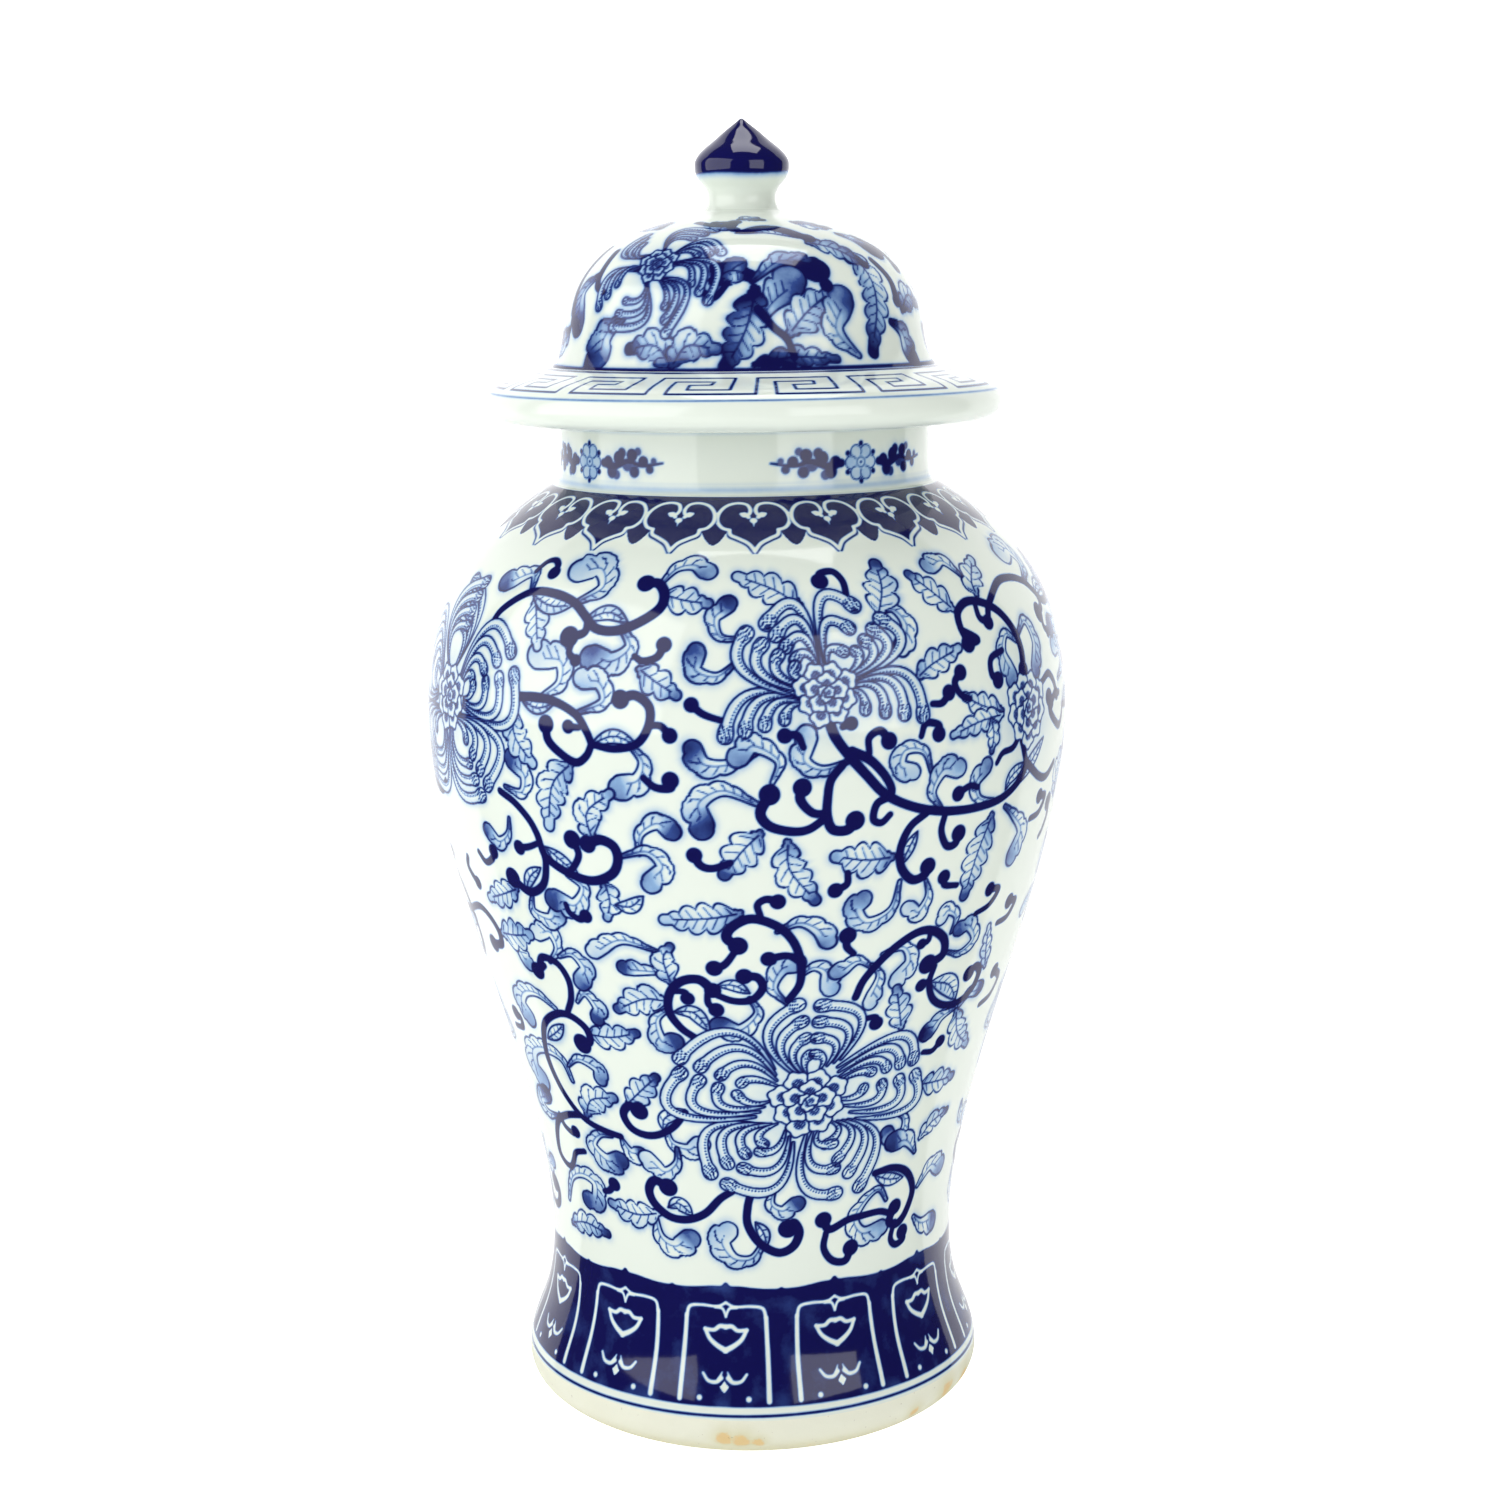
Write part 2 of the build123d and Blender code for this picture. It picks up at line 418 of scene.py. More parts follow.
def outer_side(line):
    """Which side of a bent line is its outer one: 1 for the left, -1 for the right."""
    chord, mid = line[-1] - line[0], line[len(line) // 2] - line[0]
    return 1 if chord[0] * mid[1] - chord[1] * mid[0] > 0 else -1


def leaf(paint, kind, width, spine, tone=0.16):
    """One outlined leaf with veins, a graded wash inside and a soft bleed outside.

    kind is oak (lobed), tongue (curled, with a round tip) or blade (pointed).
    """
    line = through(spine)
    spots, distance, place, side, length = paint.near(line, 0.75 * width + 5)
    outer = paint.random.choice([-1, 1]) if kind == "blade" else outer_side(line)
    if kind == "oak":
        half = 0.58 * width
        lean = place - 0.3 * distance / length
        lobes = max(2.2, length / 6.0)
        wave = np.abs(np.sin(np.pi * (lobes * lean + 0.22 * side)))
        reach = half * np.sin(np.pi * np.clip(place, 0.02, 0.975) ** 0.9) ** 0.6 * (0.55 + 0.47 * wave ** 0.62)
        reach = np.maximum(reach, half * 0.34 * (place > 0.86))
    elif kind == "tongue":
        half = 0.62 * width
        lean = place - 0.2 * distance / length
        lobes = max(1.8, length / 5.4)
        outward = 0.5 + 0.5 * side * outer
        wave = np.abs(np.sin(np.pi * (lobes * lean + 0.3))) * outward
        swell = np.clip(place / 0.8, 0, 1)
        reach = half * (0.2 + 0.5 * swell ** 1.3 + 0.22 * outward * swell + 0.36 * wave ** 0.7 * swell)
    else:
        half = 0.5 * width
        lean = place
        reach = half * np.sin(np.pi * np.clip(place, 0.01, 0.99)) ** 0.8
    steep = np.gradient(reach, axis=0) ** 2 + np.gradient(reach, axis=1) ** 2
    slope = np.hypot(1, np.clip(steep, 0, 0.5 * paint.grain ** 2) ** 0.5 / paint.grain)
    edge = (reach - distance) / slope
    inside = cover(edge)
    paint.clear(spots, inside)
    shade = paint.random.uniform(-0.04, 0.08) + tone
    middle, way = paint.random.uniform(0.25, 0.7), paint.random.choice([-1, 1])
    flow = shade * (0.35 + 1.5 * np.abs(place - middle) + 0.55 * np.clip(way * side * distance / (half + 0.1), -0.5, 1))
    ends = paint.random.choice([0, 0.5, 1], 2)
    pool = 0.42 * (ends[0] * np.clip((place - 0.76) / 0.24, 0, 1) + 0.8 * ends[1] * np.clip(1 - place / 0.3, 0, 1))
    paint.add(paint.wash, spots, inside * np.clip(flow + pool, 0.02, 0.85))
    outside = np.clip(-edge, 0, None)
    blot = paint.random.uniform(0.08, 0.24) * (0.62 + 0.38 * side * way)
    paint.add(paint.wash, spots, (1 - inside) * blot * np.exp(-(outside / 1.7) ** 2))
    paint.add(paint.ink, spots, 0.93 * cover(0.31 - np.abs(edge), 0.24))
    veins = cover(0.26 - distance, 0.22) * (place < 0.88) * (place > 0.04)
    spacing = 3.3 if kind == "oak" else 2.9
    lean = place - 0.62 * distance / length
    phase = (lean * length / spacing + 0.25 * side) % 1
    ribs = np.clip(1 - np.abs(phase - 0.5) * spacing / 0.4, 0, 1)
    ribs *= (distance < 0.74 * reach) & (place > 0.08) & (place < 0.92) & (distance > 0)
    if kind == "tongue":
        ribs *= side * outer > 0
        veins *= 0.6
    paint.add(paint.ink, spots, inside * np.maximum(veins, ribs) * 0.8)


def petal(paint, line, width, tone=0.2):
    """A long curled petal with a beaded inner edge and a stippled round tip."""
    spots, distance, place, side, length = paint.near(line, width / 2 + 2.5)
    knob = np.clip((place * length - length + 0.95 * width) / (0.7 * width), 0, 1)
    half = width / 2 * (0.2 + 0.56 * np.clip(place / 0.7, 0, 1) + 0.28 * knob * knob * (3 - 2 * knob))
    edge = half - distance
    inside = cover(edge)
    paint.clear(spots, inside)
    centre = line[len(line) // 2]
    chord = (line[0] + line[-1]) / 2
    run = line[-1] - line[0]
    inner = np.sign(run[0] * (chord[1] - centre[1]) - run[1] * (chord[0] - centre[0]))
    offset = distance * side * inner
    body = tone * (1.15 - 1.05 * np.clip(place / 0.5, 0, 1)) + 0.1 * (offset < -0.15 * half)
    paint.add(paint.wash, spots, inside * body)
    paint.add(paint.wash, spots, (1 - inside) * 0.17 * np.exp(-(np.clip(-edge, 0, None) / 1.4) ** 2))
    beads = np.abs((place * length / 1.25) % 1 - 0.5) * 1.25
    row = cover(0.36 - np.hypot(beads, offset - 0.4 * half), 0.2) * (place > 0.2)
    tip = (np.sin(place * length * 4.4) * np.sin(offset * 4.4 + place * length * 2.2) > 0.2) * (knob > 0.3)
    paint.add(paint.ink, spots, inside * 0.85 * np.maximum(row, tip * (edge > 0.4)))
    paint.add(paint.ink, spots, FULL * cover(0.28 - np.abs(edge), 0.22))


def bundle(paint, outer, inner, count, width, tone=0.22):
    """Nested petals, from the outermost bow to the innermost, each given as (base, bulge, tip)."""
    outer, inner = np.asarray(outer, float), np.asarray(inner, float)
    for k in range(count):
        share = k / max(1, count - 1)
        petal(paint, bowed(*(outer + (inner - outer) * share)), width * (1 - 0.25 * share), tone)


def rosette(paint, centre, radius, petals, depth=0.72):
    """The flower's eye: white-edged petals with dark stippled hearts."""
    scale = np.interp(centre[1], paint.height, paint.radius) * TURN / 360
    glow_spots, angle, height, mm = paint.patch([centre], radius * 2.6)
    far = np.hypot((angle - centre[0]) * mm, height - centre[1])
    paint.add(paint.wash, glow_spots, 0.26 * np.exp(-(far / (radius * 1.3)) ** 2))
    for ring, (share, size, number) in enumerate(((0.82, 0.36, petals + 1), (0.46, 0.33, petals - 2), (0.12, 0.2, 3))):
        for k in range(number):
            turn = TURN * k / number + 0.5 + ring
            wobble = 1 + 0.1 * math.sin(3 * turn)
            at = (centre[0] + share * radius * wobble * math.cos(turn) / scale,
                  centre[1] + share * radius * wobble * math.sin(turn))
            spots, angle, height, mm = paint.patch([at], size * radius + 1.5)
            x, y = (angle - at[0]) * mm, height - at[1]
            bend = np.arctan2(y, x)
            rim = size * radius * (1 + 0.1 * np.cos(5 * (bend - turn))) - np.hypot(x, y)
            inside = cover(rim)
            paint.clear(spots, inside)
            paint.add(paint.wash, spots, inside * 0.08)
            paint.add(paint.ink, spots, FULL * cover(0.3 - np.abs(rim), 0.24))
            back = np.hypot(x - math.cos(turn + math.pi) * size * radius * 0.22,
                            y - math.sin(turn + math.pi) * size * radius * 0.22)
            heart = cover(size * radius * 0.52 - back)
            speck = np.sin(x * 5.1 + 2 * y) * np.sin(y * 5.4 - x) > 0.35
            paint.add(paint.ink, spots, heart * np.where(speck, 0.22, depth))


def vine(paint, points, width=3.5, ball=0, taper=0.8):
    """A dark stem, ending in a round knob where ball is not 0."""
    width *= 0.77
    paint.stroke(points, width * (0.85 if ball else 1), width * (1.15 if ball else taper), 0.97)
    if ball:
        paint.dot(points[-1], ball * 1.02, 0.97)


# ---------------------------------------------------------------- decoration: the scrolling flowers

# Stems: width in millimetres, radius of the end knob, then (angle, height) points
STEMS = [
    (4, 3, [(-52, 286), (-50, 292), (-44, 299), (-38, 299.5), (-33, 297), (-30, 293), (-27, 288.5), (-23, 288),
            (-19, 291), (-15.5, 296), (-15, 301), (-16.5, 305), (-19, 305)]),
    (3.5, 3.5, [(-29, 292), (-29, 287), (-32, 285)]), (3, 2, [(-31, 284), (-31.5, 280), (-30, 277.5)]),
    (3, 2.5, [(-45.5, 307), (-44, 311), (-42, 312), (-40.5, 310), (-40.5, 307)]),
    (3, 2.5, [(-19, 280), (-17.5, 278.5), (-15, 280), (-14, 284)]),
    (4, 0, [(-41, 264), (-37, 264.5), (-33, 263.5), (-29, 260), (-27, 255), (-26, 251)]),
    (3.6, 3, [(-26, 251), (-22, 250), (-18, 252), (-16, 258), (-16, 264), (-18.5, 267.5), (-21, 266)]),
    (3, 2.5, [(-16, 258), (-14, 258), (-12.5, 255)]),
    (3.6, 3, [(-26, 251), (-27, 247), (-29, 244.5), (-32, 247), (-34.5, 251), (-35, 256)]),
    (3, 2.2, [(-28.5, 256), (-30.5, 256)]),
    (3.4, 2.8, [(-17, 241), (-15, 238), (-12.5, 238), (-12.5, 240.5)]),
    (4, 3, [(-46.5, 231), (-43, 228), (-40, 223), (-38.5, 218), (-38, 214), (-37, 210), (-33, 206), (-28, 204),
            (-24, 207), (-22.5, 212), (-23, 217), (-25.5, 219), (-28, 217)]),
    (3.8, 3.6, [(-38, 214), (-37.5, 208), (-39, 200), (-43, 196), (-47, 200)]),
    (3, 2.6, [(-38.5, 215), (-41, 213), (-43.5, 212)]),
    (3.2, 3.2, [(-33, 206), (-31.5, 208), (-30, 213), (-31, 218)]),
    (3.2, 2.6, [(-57, 206), (-55, 203), (-52.5, 205), (-51.5, 208)]),
    (3.4, 2.4, [(-63, 202), (-64, 198), (-62, 194), (-61, 193)]),
    (3, 2.4, [(-34.5, 194), (-34, 191), (-32, 189), (-30.5, 190.5)]),
    (3.8, 3.2, [(-70, 180), (-64, 183), (-60, 181), (-57.5, 176), (-58, 171), (-62, 169.5)]),
    (4, 0, [(-46, 165), (-44, 171), (-40, 170), (-38, 164), (-38.5, 157), (-40.5, 151)]),
    (4, 3.2, [(-44, 168), (-46.5, 165)]),
    (4, 0, [(-38.5, 138), (-36, 141), (-36.5, 146), (-40, 149.5), (-44, 149), (-49, 144), (-51.5, 137), (-52.5, 128),
            (-51, 119), (-48, 112), (-44, 107), (-38, 104.5), (-33, 103.5)]), (3.6, 3.8, [(-37, 140), (-38.5, 139)]),
    (3.6, 0, [(-46, 108), (-51, 106), (-56, 102), (-59, 95), (-60, 88), (-58, 84.5), (-55, 84), (-53, 87), (-51, 91),
              (-47, 93)]), (3, 2.4, [(-54.5, 105), (-53.5, 101), (-50.5, 99), (-49, 100)]),
    (3.8, 3.4, [(-15, 117), (-18, 111), (-22, 107), (-26, 106), (-29.5, 108), (-31, 113), (-29, 117), (-26.5, 115.5)]),
    (3.4, 2.8, [(-65, 136), (-61, 137), (-60.5, 141), (-62.5, 142)]),
    (4, 2.8, [(-11, 147), (-14, 151), (-16, 157), (-15.5, 164), (-13, 169), (-9.5, 170), (-7, 166)]),
    (3, 2.4, [(-15, 165), (-12.5, 165), (-12, 162.5)]), (3, 2.6, [(-8, 166), (-8, 161), (-6.5, 158.5)]),
    (3.6, 2.8, [(-6, 164), (-3, 162), (0.5, 162.5), (2.5, 167), (1.5, 171), (-1, 171.5)]),
    (4, 3.2, [(7.5, 162), (9.5, 168), (9.5, 176), (8, 184), (5, 190), (0.5, 193), (-3, 190), (-4, 186), (-2, 183)]),
    (3.4, 2.8, [(-2.5, 181), (-4.5, 176), (-6.5, 174.5)]), (3.2, 2.6, [(2, 194), (1.5, 198), (3, 200), (5, 199)]),
    (3.2, 2.6, [(9.5, 176), (7, 179), (3.5, 178)]), (3.4, 2.6, [(-3, 213), (-6, 211), (-8, 212), (-9, 215.5)]),
    (4.2, 3.6, [(21, 161), (22.5, 168), (27, 177), (32, 182.5), (36, 182.5), (39.5, 178), (40, 172), (36.5, 169.5)]),
    (3, 2, [(35.5, 183), (35.5, 179), (34, 178)]),
    (3.8, 3, [(38.5, 168), (38, 162), (40, 155), (44, 151), (49, 150.5), (53, 154), (54, 160), (52, 163), (50, 161)]),
    (3, 2.4, [(38, 163), (36, 161.5)]), (3.4, 3, [(19.5, 178), (18, 181), (18, 185)]),
    (3.2, 2.6, [(23.5, 152), (26, 152), (26.5, 149.5)]), (3.2, 2.4, [(41, 133.5), (44, 133), (46, 136)]),
    (4.4, 0, [(13, 262), (14, 255), (16, 249), (19.5, 241), (23, 234), (28, 229), (34, 226), (41, 225), (48, 226),
              (53, 230), (55.5, 235), (54.5, 241), (53, 248)]),
    (4.2, 0, [(17, 249), (20, 246), (22.5, 241), (24, 236), (24, 233)]), (3, 2.2, [(15.5, 257), (17, 258)]),
    (3.2, 2.8, [(20, 248), (20, 253), (22, 255), (23.5, 251.5)]),
    (4, 3.2, [(15.5, 245), (13.5, 240), (13, 234), (13, 228), (14, 223.5), (16.5, 223), (17.8, 226)]),
    (3.8, 3, [(13, 229), (10.5, 229.5), (8.5, 234), (8.8, 238)]),
    (4, 3.4, [(13, 228), (10, 224), (7, 223.5), (3.5, 225.5), (2, 230), (3.5, 236)]),
    (3.6, 0, [(23.5, 233), (21.5, 231), (21, 226), (22.5, 224.5), (24, 227)]),
    (4, 3, [(31, 226), (28, 222), (26.5, 215), (27, 208), (29.5, 203), (32, 204), (32.5, 207)]),
    (3.6, 3, [(35, 225), (34.5, 219), (36, 213.5), (38, 213.5), (38.5, 217)]),
    (4, 3, [(41.5, 280), (40.5, 286), (41, 291), (44, 294), (48, 293), (52, 289), (55, 282), (56, 275), (55.5, 268)]),
    (3.4, 3, [(40.5, 285), (44, 281), (41.5, 280)]), (3.2, 2.6, [(46, 293), (46, 288), (48, 286)]),
    (3.2, 2.8, [(50, 276), (46.5, 274), (46, 269), (47.5, 266.5)]),
    (3.2, 2.6, [(40, 262), (38, 264), (37, 268), (38.5, 271)]), (3.2, 2.6, [(32, 262), (34, 262), (35.5, 265)]),
    (3, 2.6, [(42, 232), (40, 233), (37.5, 231)]), (3.2, 2.6, [(29.5, 252), (30.5, 256), (33, 255), (33, 252)]),
    (3, 2.4, [(9, 251), (8, 255), (6, 255)]), (3, 2.4, [(-4, 260), (-7, 262), (-9, 265)]),
    (3.2, 2.8, [(18.5, 299), (18.5, 305), (17, 309), (14.5, 308.5), (14, 305.5)]),
    (3.2, 0, [(53, 247), (51, 243), (48, 242), (46.5, 239)]), (4, 0, [(56, 236), (61, 230), (65, 228.5), (69, 232)]),
    (3.4, 2.6, [(62, 262), (66, 264), (69, 258), (66, 254)]),
    (3.4, 2.6, [(60, 215), (64, 216), (66, 221), (63, 222)]),
    (3.2, 2.6, [(47, 185), (51, 187), (53, 192), (50, 193)]),
    (3.4, 2.8, [(56, 178), (60, 179), (62, 184), (59, 185)]),
    (3.4, 2.8, [(59, 145), (64, 147), (66, 153), (62, 157)]),
    (4, 3.4, [(-5, 86), (-8, 83), (-12, 77), (-17, 74), (-22, 74.5), (-26, 79), (-27, 84), (-25, 88), (-21.5, 86)]),
    (4, 3.4, [(0, 86), (-1, 80), (-1, 73), (2, 66), (7, 62), (11, 64), (12.5, 69), (11, 73), (9.5, 71)]),
    (4, 3, [(33, 88), (38, 88.5), (43, 86), (46.5, 81), (48, 75), (46, 68), (43, 65), (40, 67), (41.5, 72)]),
    (3.6, 3, [(40, 70), (36, 72), (30, 72), (26, 71.5), (21, 69), (19, 73)]),
    (3.4, 3, [(20, 68), (19.5, 62), (22, 57), (26, 56), (27.5, 60.5)]),
    (3.4, 2.8, [(42, 66), (41, 60), (43, 57), (46, 58), (45.5, 61)]), (3.2, 2.6, [(-42, 79), (-40, 80), (-38, 83)]),
    (3.2, 2.6, [(17, 208), (17, 204), (15, 202)]), (3.2, 2.6, [(40, 198), (37, 199), (36.5, 202)]),
]

# Leaves: kind, width in millimetres, then the (angle, height) points of the midrib from base to tip
LEAVES = {
    "tongue": [
        (7, [(-44, 300), (-46, 306), (-52, 301)]), (9, [(-32, 297), (-27.5, 303), (-29.5, 310), (-34, 308)]),
        (5.5, [(-16, 305), (-13.5, 311), (-10, 312.5), (-8, 309.5)]),
        (8, [(-22, 289), (-20, 283), (-23, 278), (-26.5, 279.5)]),
        (8, [(-36, 265), (-32.5, 270), (-33, 277), (-38, 277)]),
        (6, [(-28.5, 261), (-24, 265), (-25, 271), (-28, 271)]),
        (7, [(-19, 251), (-17, 246), (-18, 240), (-21, 238.5)]),
        (6, [(-45, 233), (-41, 232), (-40, 238), (-43, 242)]),
        (5.5, [(-18.5, 215), (-18, 222), (-15, 226), (-13, 223)]),
        (6, [(-21.5, 214), (-17, 216), (-14.5, 211), (-17, 206)]),
        (5, [(-1.5, 286), (-4.5, 287), (-5.5, 293), (-3, 297)]),
        (5.5, [(-2, 278), (-5, 274), (-8.5, 276), (-8, 281.5)]), (6, [(2.5, 251), (-3, 246), (-7, 246), (-8.5, 251)]),
        (6, [(4, 240), (5, 247), (1, 252), (-1, 248)]), (7, [(1.5, 233), (-4, 237.5), (-8, 233), (-7, 226)]),
        (6, [(24, 293), (27, 294), (29, 288), (27, 281.5)]), (6, [(46, 303), (43, 310), (39, 308)]),
        (6, [(55, 278), (52, 281), (50, 275), (52, 267)]), (6, [(56, 280), (60, 284), (62, 276), (60, 268)]),
        (5.5, [(31.5, 240), (30, 247), (26.5, 248), (25.5, 243), (28, 241)]),
        (6, [(34, 227), (32, 233), (34, 240), (37, 239)]), (5, [(47, 226), (42.5, 228), (41.5, 234), (44, 238)]),
        (7, [(50, 223), (53, 219), (57, 212), (55, 204)]), (6, [(16.5, 246), (12, 243.5), (9, 247), (10, 254)]),
        (6, [(27, 203), (26, 193), (21.5, 189), (19, 194), (20.5, 197.5)]),
        (5, [(32.5, 202), (33.5, 196), (32, 190.5), (30, 193)]), (6, [(5, 188), (9, 191), (12.5, 188), (14, 183.5)]),
        (6, [(7, 161), (4.5, 167), (6, 174), (8.5, 175)]), (6, [(9.5, 171), (12, 174), (14.5, 172), (15, 166)]),
        (5, [(23.5, 172), (20.5, 175), (17, 171)]), (5, [(23.5, 173), (25.5, 168), (24, 158.5)]),
        (6, [(25.5, 176.5), (30, 178), (32, 172), (29.5, 166.5)]),
        (4.5, [(41, 180), (41.5, 186), (39, 189), (38, 186)]),
        (5, [(40.5, 173), (45, 171), (48.5, 175), (46, 181), (43.5, 180)]), (6, [(48, 148), (44, 146), (41.5, 141)]),
        (5, [(49, 147), (52, 152), (56, 152)]), (5, [(36, 111), (39.5, 108), (40, 103), (37, 101), (35, 104)]),
        (7, [(46, 92), (42, 98), (38, 98)]), (6, [(0, 163), (1.5, 157), (-2, 150.5), (-5.5, 153)]),
        (6, [(-16, 158), (-19, 153), (-18.5, 145), (-16, 146)]), (5, [(-15, 172), (-20, 172), (-24, 172)]),
        (5.5, [(-17, 180), (-24, 183), (-30, 177)]), (5, [(-37, 156), (-34.5, 160), (-32, 155), (-33, 151.5)]),
        (6, [(-42, 170), (-39, 176), (-40, 182), (-43.5, 180)]),
        (6, [(-39, 173), (-35.5, 175), (-33, 170), (-35, 165.5)]),
        (6, [(-53, 176), (-51, 171), (-49.5, 167)]), (6, [(-42.5, 195), (-43, 189), (-39, 187), (-37, 191)]),
        (7, [(-33, 205), (-30, 201), (-32.5, 194), (-36.5, 196)]),
        (5, [(-45, 222), (-46, 216), (-49, 212.5), (-51.5, 216)]),
        (7, [(-44, 151), (-49, 155), (-54, 154), (-57, 149), (-55, 144)]),
        (8, [(-45, 122), (-47, 130), (-53, 132), (-59, 129), (-61, 122), (-58, 118)]),
        (5, [(-45, 128), (-41, 132), (-36, 130), (-36, 126)]),
        (7, [(-36, 103), (-40, 102), (-43, 97), (-39, 92), (-35, 94)]),
        (6, [(-33, 103), (-31, 98), (-28, 98)]), (6, [(-20, 109), (-19, 104), (-15, 102), (-12.5, 105)]),
        (6, [(-18, 102), (-18.5, 96), (-22, 92), (-26, 97)]), (6, [(-55, 104), (-61, 103), (-64, 107), (-59, 110)]),
        (7, [(-26, 74), (-25, 66), (-21, 63), (-17, 67)]), (7, [(3, 66), (0, 60), (-5, 60), (-8, 66), (-6, 70)]),
        (5, [(6, 88), (5, 81), (8, 78), (11, 81)]), (6, [(38, 76), (35, 81), (31, 78), (28, 71), (31, 65), (37, 66)]),
        (6, [(-60, 69), (-56, 79), (-50, 83), (-45, 81), (-46, 74), (-49, 74)]), (7, [(50, 65), (54, 61), (60, 60)]),
        (7, [(50, 77), (55, 83), (60, 80)]),
    ],
    "oak": [
        (9, [(-15, 301), (-11, 299), (-6.8, 298)]), (9, [(-42, 297), (-40, 289), (-38.5, 281)]),
        (9, [(-18, 276), (-15, 272), (-11.5, 268)]), (10, [(-42, 259), (-42, 251), (-38, 242.5)]),
        (11, [(-30, 244), (-34, 236), (-35.5, 222)]), (9, [(-27, 219), (-27.5, 228), (-23, 235)]),
        (10, [(9.5, 297), (5, 303), (-1.5, 308)]), (11, [(2, 223), (-1, 217), (-4, 209)]),
        (11, [(24, 293), (26, 302), (26.5, 311)]), (9, [(40, 292), (37, 298), (33, 306)]),
        (9, [(47.5, 296), (48, 301), (52, 309)]), (8, [(29.5, 271), (33, 275), (39, 279)]),
        (8, [(48, 256), (43, 259), (39, 263)]), (7, [(48, 255), (42, 254), (36, 251)]),
        (6, [(45, 254), (45.5, 249), (45, 243.5)]),
        (10, [(6.5, 220), (7, 210), (11.5, 199)]), (11, [(25, 212), (20, 212), (14.8, 214)]),
        (11, [(46.5, 221), (44, 208), (42.5, 193.5)]), (10, [(-1.5, 195), (-7, 193), (-15, 192)]),
        (9, [(33, 146), (31.5, 154), (30, 162)]), (9, [(49, 147), (52, 137), (58, 130)]),
        (9, [(43, 120), (49, 119), (55, 118.5)]),
        (6, [(56, 161), (54, 170), (53, 178)]), (7, [(47, 97), (51, 102), (57, 104)]),
        (10, [(-16.5, 161), (-21, 161), (-27, 156)]), (8, [(-15, 168), (-16, 177), (-14.5, 182)]),
        (9, [(-36, 143.5), (-30, 144), (-24, 147)]), (11, [(-56, 176), (-51, 177), (-46, 179)]),
        (9, [(-46.5, 196), (-52, 192), (-57, 189)]), (8, [(-25.5, 204), (-25, 197), (-26, 191)]),
        (10, [(-43, 109), (-40, 116), (-33, 119)]), (9, [(-29, 118), (-25, 124), (-21, 130)]),
        (9, [(-25, 75), (-32, 73), (-40, 75)]), (8, [(-60, 60), (-52, 63), (-43, 62)]),
    ],
    "blade": [
        (6, [(-43, 298), (-38, 295), (-33, 295.5)]), (5, [(-29.5, 291), (-25, 294), (-21, 291)]),
        (4, [(-40.5, 263), (-37, 261), (-33.5, 263)]), (4.5, [(-26, 251), (-22, 254), (-18, 251.5)]),
        (4.5, [(49.5, 229), (51, 233), (55, 236.5)]), (4, [(29.5, 220), (28, 214), (27, 209)]),
        (8, [(38.5, 162), (44, 159), (47.5, 152)]), (4, [(-6, 168), (-3, 168), (0, 165)]),
        (5, [(-15, 157), (-11, 157), (-8, 150)]),
        (4.5, [(-44, 196), (-42, 202), (-39, 206)]), (5, [(-37, 214), (-34, 210), (-30.5, 205)]),
        (5, [(-24, 196), (-21, 196), (-18.5, 200)]), (5, [(-50, 137), (-46, 141), (-43, 145)]),
        (5, [(-21, 109), (-20, 114), (-15, 118)]), (4, [(1, 74), (3, 70), (4, 65)]),
        (5, [(33, 87), (38, 84), (43, 83)]),
        (5, [(-22, 78), (-19, 80), (-15.5, 76)]), (5, [(52, 229), (58, 237), (62, 243)]),
    ],
}

# Flowers: centre and, for each bundle of petals, the outermost and innermost (base, bulge, tip) and the count
LOW_FLOWER = ((13, 121), 11.5, [
    ([(9, 133), (3.5, 148), (9.5, 160)], [(12, 133), (11.5, 137), (12.5, 140)], 4),
    ([(19.5, 137), (23, 153), (14, 159)], [(15, 134), (15.5, 138), (13.5, 140)], 4),
    ([(19, 134), (33, 143), (38.5, 131.5)], [(20, 128), (24, 130.5), (27.5, 130)], 4),
    ([(25, 112), (41, 112), (40, 125)], [(20, 121), (24, 121), (26, 124)], 4),
    ([(23, 112), (32, 102), (28.5, 84)], [(19, 112), (21, 108), (18, 103)], 4),
    ([(13, 108), (13, 88), (22, 83)], [(16, 109), (16, 104), (20, 103)], 3),
    ([(10, 105), (6, 87), (-6, 89)], [(8, 110), (6, 103), (2, 102)], 3),
    ([(2, 113), (-10, 110), (-10, 93)], [(6, 113), (2, 109), (3, 105)], 4),
    ([(1, 116), (-18, 117), (-15, 133)], [(4, 122), (0, 121.5), (-3, 125)], 4),
    ([(5, 135), (-4, 150), (-15, 138.5)], [(6, 128), (1, 131), (-2, 129.5)], 4)])
HIGH_FLOWER = ((13, 268), 9, [
    ([(12, 277), (9, 297), (3.5, 291)], [(12, 276), (10, 281), (8, 279)], 4),
    ([(13, 278), (13.5, 299), (19.5, 296)], [(13.5, 277), (14, 282), (16.5, 281)], 3),
    ([(18, 272), (27, 282), (24, 291)], [(17, 274), (19, 278), (18.5, 281)], 4),
    ([(18, 271), (27, 273), (30, 258.5)], [(17, 269), (19, 267), (19.5, 262)], 4),
    ([(8, 267), (0, 268), (-3.5, 255)], [(9, 265), (7, 264), (6, 260)], 4),
    ([(7, 268), (-1, 277), (0, 288)], [(10, 272), (8, 274), (8, 277)], 4)])
